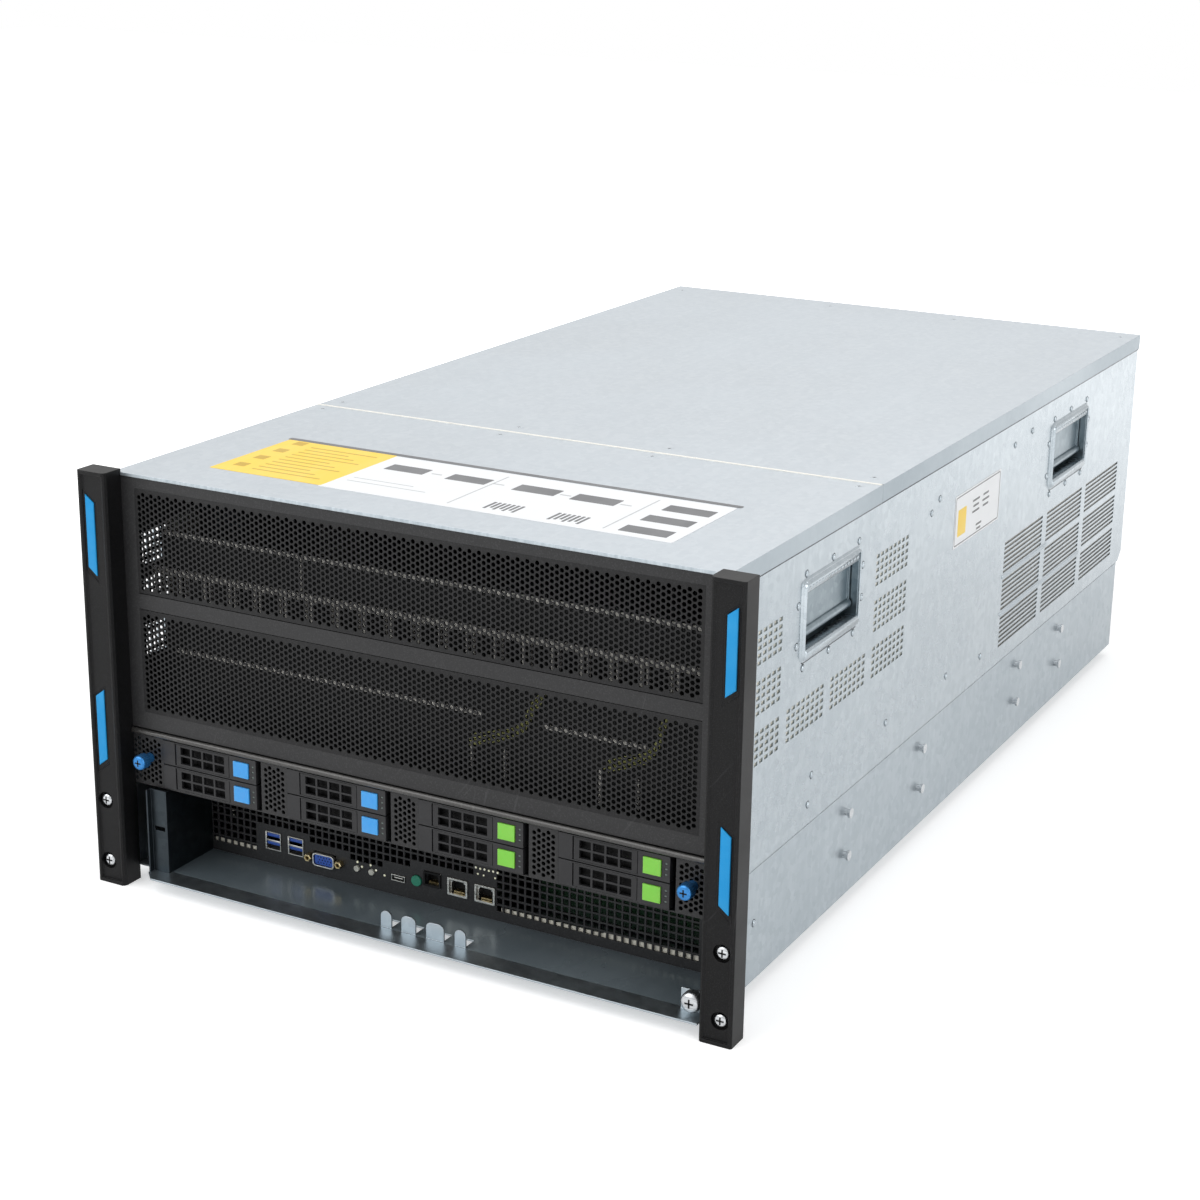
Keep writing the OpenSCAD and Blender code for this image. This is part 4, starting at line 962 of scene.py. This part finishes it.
def build_screws():
    stands = ["screws"]
    seat, ear_hole = -12.0, 232.55
    heads, slots = bmesh.new(), bmesh.new()
    head = [(0, -3.3), (2.4, -3.3), (3.7, -2.8), (4.4, -1.7), (4.5, 0)]
    shank = [(2.5, 0), (2.5, 23.4), (1.9, 24), (0, 24)]
    for x in (-ear_hole, ear_hole):
        for z in (6, 50.45):
            turned(heads, [(r, seat + a) for r, a in head + shank], spot(x, 0, z), sides=28)
            add_cross(slots, x, seat - 3.22, z, 2.5, 0.5)
    knob_x, knob_z = 210.5, 10.5
    stem = [(0, 3.8), (2.5, 3.8), (2.5, -3.2), (4, -3.2), (4, -5.2), (6.5, -5.4)]
    grip = [(6.8, -5.9, 0.4), (6.8, -10.6, 0.4), (6.3, -11.4, 0.2)]
    crown = [(5.4, -12.4), (3.4, -12.9), (0, -12.9)]
    turned(heads, stem + grip + crown, spot(knob_x, 0, knob_z), sides=56)
    add_cross(slots, knob_x, -12.82, knob_z, 2.9, 0.55)
    make_piece("screw_heads", heads, "bright_steel", stands, smooth=40)
    covers = bmesh.new()
    for x in (-211.5, -60, 60, 211.5):
        for y in (219, 245, 808):
            disc = [(3.1, 279.4), (3.1, 280.06), (2.9, 280.12), (0, 280.12)]
            turned(covers, disc, spot(x, y, 0), "Z")
            add_cross(slots, x, y, 280.1, 1.5, 0.22, "Z")
    make_piece("cover_screws", covers, "cover_steel", stands)
    make_piece("screw_slots", slots, "recess_black", stands)


def build_thumbscrews():
    bodies, slots = bmesh.new(), bmesh.new()
    stands, away, up = ["thumbscrews"], 205, 82
    for x in (-away, away):
        tip = [(0, -13.4), (3.0, -13.4), (4.3, -13.0), (5.0, -12.3, 0.2), (5.25, -11.6, 0.4)]
        root = [(5.25, -6.2, 0.4), (4.9, -5.4, 0.2), (3.5, -5.1), (3.5, 0), (0, 0)]
        turned(bodies, tip + root, spot(x, 0, up), sides=44)
        add_cross(slots, x, -13.25, up, 2.4, 0.5)
    make_piece("thumbscrew_bodies", bodies, "blue_thumbscrew", stands, smooth=40)
    make_piece("thumbscrew_slots", slots, "recess_black", stands)


# ---- Ear inserts: a dark bed and a narrower coloured strip, slanted at both ends ----


INSERT_X = 232.7


def add_slanted(bm, side, z, width, tall, slant, steps):
    """A slanted strip on an ear. Steps give its section as (outwards, distance behind the panel's
    plane)."""
    rings = []
    for out, y in steps:
        a, lean = width / 2 + out, slant / 2
        corners = ((-a, -out - lean), (a, -out + lean), (a, tall + out + lean), (-a, tall + out - lean))
        rings.append([bm.verts.new(spot(side * (INSERT_X + x), y, z + up)) for x, up in corners])
    for near, far in zip(rings, rings[1:]):
        for i in range(4):
            j = (i + 1) % 4
            bm.faces.new([near[i], near[j], far[j], far[i]])
    bm.faces.new(rings[0][::-1])
    bm.faces.new(rings[-1])


def build_inserts():
    beds, strips = bmesh.new(), bmesh.new()
    for side in (-1, 1):
        for z, slant in ((74, -8), (209, 8)):
            sections = [(0, -14.25), (0, -15.4), (-0.5, -15.5), (-1.4, -15.0)]
            add_slanted(beds, side, z, 10.4, 56, slant, sections)
            sections = [(0, -14.9), (0, -15.6), (-0.25, -15.9), (-0.8, -16.0)]
            add_slanted(strips, side, z + 4.4, 6.9, 49.8, slant * 0.66, sections)
    make_piece("insert_beds", beds, "black_aluminium", ["ear_inserts"], smooth=20)
    make_piece("insert_strips", strips, "blue_insert", ["ear_inserts"], smooth=20)


# ---- Port panel: tongues, liners, contacts, lamps and what shows behind its holes ----

FACE = 45.0
MONITOR_X, MONITOR_Z = -94.6, 14
JACKS = ((-8.3, 13.8, 13.6, 10.6), (11.6, 11.6, 15.6, 12.6), (32.6, 11.6, 15.6, 12.6))


def dots(bm, spots, radius, front):
    for x, z in spots:
        dome = [(0, front - 0.35), (radius * 0.6, front - 0.3)]
        rim = [(radius, front - 0.1), (radius, front + 0.4)]
        turned(bm, dome + rim, spot(x, 0, z), sides=14)


def build_port_details():
    blue, black, brass, silver, lamps = (bmesh.new() for _ in range(5))
    for x in (-137.6, -118.8):
        add_block(black, (x - 5.8, FACE + 3.4, 12.6), (x + 5.8, FACE + 16.6, 24.5))
        for z in (16.4, 22.3):
            add_block(blue, (x - 5.3, FACE + 0.3, z - 1.1), (x + 5.3, FACE + 4, z + 1.2), 0.3)
        add_block(silver, (x - 5.6, FACE - 0.5, 18.0), (x + 5.6, FACE + 4, 19.3), 0.2)
        add_block(silver, (x - 6.2, FACE - 0.7, 13.0), (x - 5.5, FACE + 3, 24.3), 0.2)
    place = on_front(MONITOR_X, FACE, MONITOR_Z)
    add_moulding(blue, place, 15.4, 7.4, 1.9, [(0, -3), (0, 1.6), (-0.3, 2.0)], True)
    for row in range(3):
        z = MONITOR_Z + (row - 1) * 2.0
        pins = [(MONITOR_X + (k - 2) * 2.3 + 1.1 * (row == 1), z) for k in range(5)]
        dots(black, pins, 0.5, FACE - 1.9)
    for x in (-107.1, -82.1):
        nut = [(1.4, 44), (1.4, 41.2), (1.7, 40.8), (2.5, 40.8), (2.95, 41.3), (2.95, 44.9)]
        turned(brass, nut, spot(x, 0, 14), sides=6)
        turned(black, [(0, 43.6), (1.45, 43.6)], spot(x, 0, 14))
    for n, (x, z, width, height) in enumerate(JACKS):
        middle, metal = z + height / 2, black if n == 0 else silver
        rim = [(-1.25, -1.0), (-1.25, 1.0), (0.1, 1.05), (0.1, -0.3)]
        add_moulding(metal, on_front(x, FACE, middle), width - 0.4, height - 0.4, 0.6, rim)
        foot, roof = z + 1.1, z + height - 1.1
        left, right = x - width / 2 + 1.1, x + width / 2 - 1.1
        add_block(black, (left, FACE + 6, foot), (right, FACE + 18, roof))
        for side in (-1, 1):
            edge = x + side * (width / 2 - 1.1)
            low, high = sorted((edge, edge - side * 2.3))
            add_block(metal, (low, FACE + 0.2, roof - 2.3), (high, FACE + 4, roof), 0.2)
            low, high = sorted((edge, edge - side * 1.0))
            add_block(metal, (low, FACE + 1.2, foot), (high, FACE + 6, roof - 1.9), 0.1)
        for k in range(8):
            at = x + (k - 3.5) * 1.02
            add_block(brass, (at - 0.2, FACE + 1.6, z + 1.2), (at + 0.2, FACE + 5.5, z + 2.8))
    add_block(black, (-40.0, FACE + 0.6, 12.4), (-30.4, FACE + 7, 15.6))
    add_block(silver, (-38.6, FACE - 0.4, 13.7), (-31.8, FACE + 2, 14.5), 0.2)
    dots(lamps, [(25.5 + k * 3.3, 35.6 - 0.2 * (k % 2)) for k in range(6)], 0.75, FACE)
    dots(lamps, [(27.0, 31.4), (31.4, 31.2), (40.2, 31.2)], 0.65, FACE)
    signals = [(-68.2, 18.3), (-64.6, 15.6), (-53.2, 15.6), (-57.6, 18.3), (-46.4, 13.4)]
    dots(lamps, signals, 0.8, FACE)
    parts = (
        ("blue_parts", blue, "port_blue"),
        ("liners", black, "recess_black"),
        ("contacts", brass, "brass"),
        ("metal", silver, "nickel_shell"),
        ("lamps", lamps, "lamp_lens"),
    )
    for name, bm, finish in parts:
        make_piece(f"port_{name}", bm, finish)

    bm = bmesh.new()
    for x0, x1, z in ((-189, -150, 10.2), (44, 120, 10.2), (120, 205, 11.2)):
        add_block(bm, (x0, FACE + 1.6, 2), (x1, FACE + 2.4, z), 0.2)
    dots(bm, [(-176.5, 27.2), (-176.3, 31.4), (-172.4, 20.3)], 1.2, FACE + 6)
    make_piece("inner_flange", bm, "pale_film")
    bm = bmesh.new()
    add_block(bm, (58, 74, 4), (196, 75.6, 52), 0.3)
    for k in range(18):
        x, z = draw.uniform(62, 186), draw.uniform(10, 44)
        low = (x, 71.5 + draw.uniform(0, 1.5), z)
        high = (x + draw.uniform(3, 9), 74, z + draw.uniform(2, 6))
        add_block(bm, low, high, 0.2)
    make_piece("riser_board", bm, "circuit_board")


# ---- Carriers and supplies: what rides on them ----


def build_carrier_details():
    for n in range(1, 9):
        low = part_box(f"sled_{n}")[0]
        x, z = low.x / MM, (low.z - FLOOR) / MM
        bm = bmesh.new()
        # A near-black plate behind the windows as painted shade inside the carrier.
        add_block(bm, (x + 12, 4.3, z + 1.4), (x + 54.2, 4.9, z + 15.6))
        make_piece(f"window_shade_{n}", bm, "recess_black", body=f"sled_{n}")
        bm = bmesh.new()
        for up in (4, 7.6, 11.2):
            add_block(bm, (x + 73.3, -0.35, z + up + 0.1), (x + 74.9, 1.2, z + up + 1.3), 0.15)
        make_piece(f"carrier_lamps_{n}", bm, "dull_lens", body=f"sled_{n}")


def build_supply_details():
    for n in range(1, 5):
        low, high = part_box(f"psu_{n}")
        x, body = (low.x + high.x) / 2 / MM, f"psu_{n}"
        place = on_back(x - 18.25, 816, 18.5)
        bm = bmesh.new()
        rim = [(-1.6, -15.2), (-1.6, 0.6), (-1.0, 1.0), (0.8, 1.0), (1.2, 0.6), (1.2, -0.2)]
        add_moulding(bm, place, 26.6, 19.6, 2.2, rim)
        add_block(bm, (x - 31, 800.4, 9), (x - 5.5, 801.6, 28))
        make_piece(f"inlet_{n}", bm, "black_plastic", body=body)
        bm = bmesh.new()
        for dx, z0 in ((-25.2, 13), (-18.25, 18.5), (-11.3, 13)):
            add_block(bm, (x + dx - 1.0, 801, z0), (x + dx + 1.0, 812.5, z0 + 4.6), 0.4)
        make_piece(f"inlet_pins_{n}", bm, "bright_steel", body=body)
        bm = bmesh.new()
        add_block(bm, (x + 27.5, 815.8, 3.4), (x + 34.6, 819.4, 6.2), 0.6)
        add_block(bm, (x + 27.5, 818.2, 3.4), (x + 34.6, 819.6, 9.4), 0.5)
        make_piece(f"release_tab_{n}", bm, "green_latch", body=body)
        bm = bmesh.new()
        lens = [(0, 816.7), (1.0, 816.6), (1.5, 816.2), (1.5, 815.8)]
        turned(bm, lens, spot(x - 1.5, 0, 36.4))
        make_piece(f"supply_lamp_{n}", bm, "lamp_lens", body=body)


build_grilles()
build_bezel()
build_accelerators()
build_vent_films()
build_cup_frames()
build_rivet_heads_and_shadows()
build_side_ribs()
build_cover_details()
build_screws()
build_thumbscrews()
build_inserts()
build_port_details()
build_carrier_details()
build_supply_details()


# ---- Studio: camera, soft boxes, pale floor and white surroundings ----

SHEET_WHITE = tone(255, 255, 255)


def aim(obj, place, target):
    obj.location = place
    obj.rotation_euler = (Vector(target) - Vector(place)).to_track_quat("-Z", "Y").to_euler()


def soft_box(name, place, target, size, watts):
    lamp = bpy.data.lights.new(name, "AREA")
    lamp.shape = "RECTANGLE"
    lamp.size, lamp.size_y = size
    lamp.energy = watts
    obj = bpy.data.objects.new(name, lamp)
    scene.collection.objects.link(obj)
    aim(obj, place, target)


def set_camera():
    turn, dip, roll = (math.radians(a) for a in (28.253, 17.642, 0.828))
    ahead = Vector((-math.sin(turn) * math.cos(dip), math.cos(turn) * math.cos(dip), -math.sin(dip)))
    right = ahead.cross(Vector((0, 0, 1))).normalized()
    up = right.cross(ahead)
    level_right = right * math.cos(roll) + up * math.sin(roll)
    level_up = up * math.cos(roll) - right * math.sin(roll)
    lens = bpy.data.cameras.new("studio_camera")
    lens.lens, lens.sensor_width = 69.27, 36
    obj = bpy.data.objects.new("studio_camera", lens)
    columns = Matrix((level_right, level_up, -ahead)).transposed()
    obj.matrix_world = Matrix.Translation((0.751892, -1.553876, 0.672037)) @ columns.to_4x4()
    scene.collection.objects.link(obj)
    scene.camera = obj


def shown_rays(tree):
    """1 where the camera sees something, straight, mirrored or through glass, and 0 for plain light."""
    path = put(tree, "LightPath").outputs
    seen = sums(tree, "MAXIMUM", path["Is Camera Ray"], path["Is Glossy Ray"])
    return sums(tree, "MAXIMUM", seen, path["Is Transmission Ray"])


def set_surroundings():
    world = bpy.data.worlds.new("white_studio")
    world.use_nodes = True
    scene.world = world
    tree = world.node_tree
    seen = shown_rays(tree)
    backdrop = tree.nodes["Background"].inputs
    backdrop["Color"].default_value = SHEET_WHITE
    feed(tree, backdrop["Strength"], spread(tree, seen, 0.0, 1.0, 0.38, 1.0))


def lay_floor():
    bm = bmesh.new()
    reach = 6
    corners = [(-reach, -reach), (reach, -reach), (reach, reach), (-reach, reach)]
    bm.faces.new([bm.verts.new((x, y, 0)) for x, y in corners])
    mesh = bpy.data.meshes.new("studio_floor")
    bm.to_mesh(mesh)
    bm.free()
    floor = bpy.data.objects.new("studio_floor", mesh)
    scene.collection.objects.link(floor)
    material = bpy.data.materials.new("studio_floor")
    material.use_nodes = True
    tree = material.node_tree
    skin = tree.nodes["Principled BSDF"].inputs
    skin["Roughness"].default_value = 0.9
    skin["Specular IOR Level"].default_value = 0.1
    skin["Base Color"].default_value = tone(232, 232, 232)
    seen = shown_rays(tree)
    here = put(tree, "TexCoord").outputs["Object"]
    outwards = spread(tree, vectors(tree, "LENGTH", here), 0.6, 1.6, 0.42, 1.0)
    glow = times(tree, seen, outwards)
    skin["Emission Color"].default_value = SHEET_WHITE
    feed(tree, skin["Emission Strength"], glow)
    mesh.materials.append(material)


set_camera()
set_surroundings()
lay_floor()
MIDDLE = (0, 0, 0.15)
soft_box("key_box", (-1.6, -2.2, 2.6), MIDDLE, (3.4, 3.4), 84)
soft_box("side_box", (2.6, -1.2, 1.4), MIDDLE, (1.6, 1.6), 26)
soft_box("top_box", (0.2, 0.6, 2.8), MIDDLE, (2.6, 2.6), 34)
scene.view_settings.view_transform = "Standard"
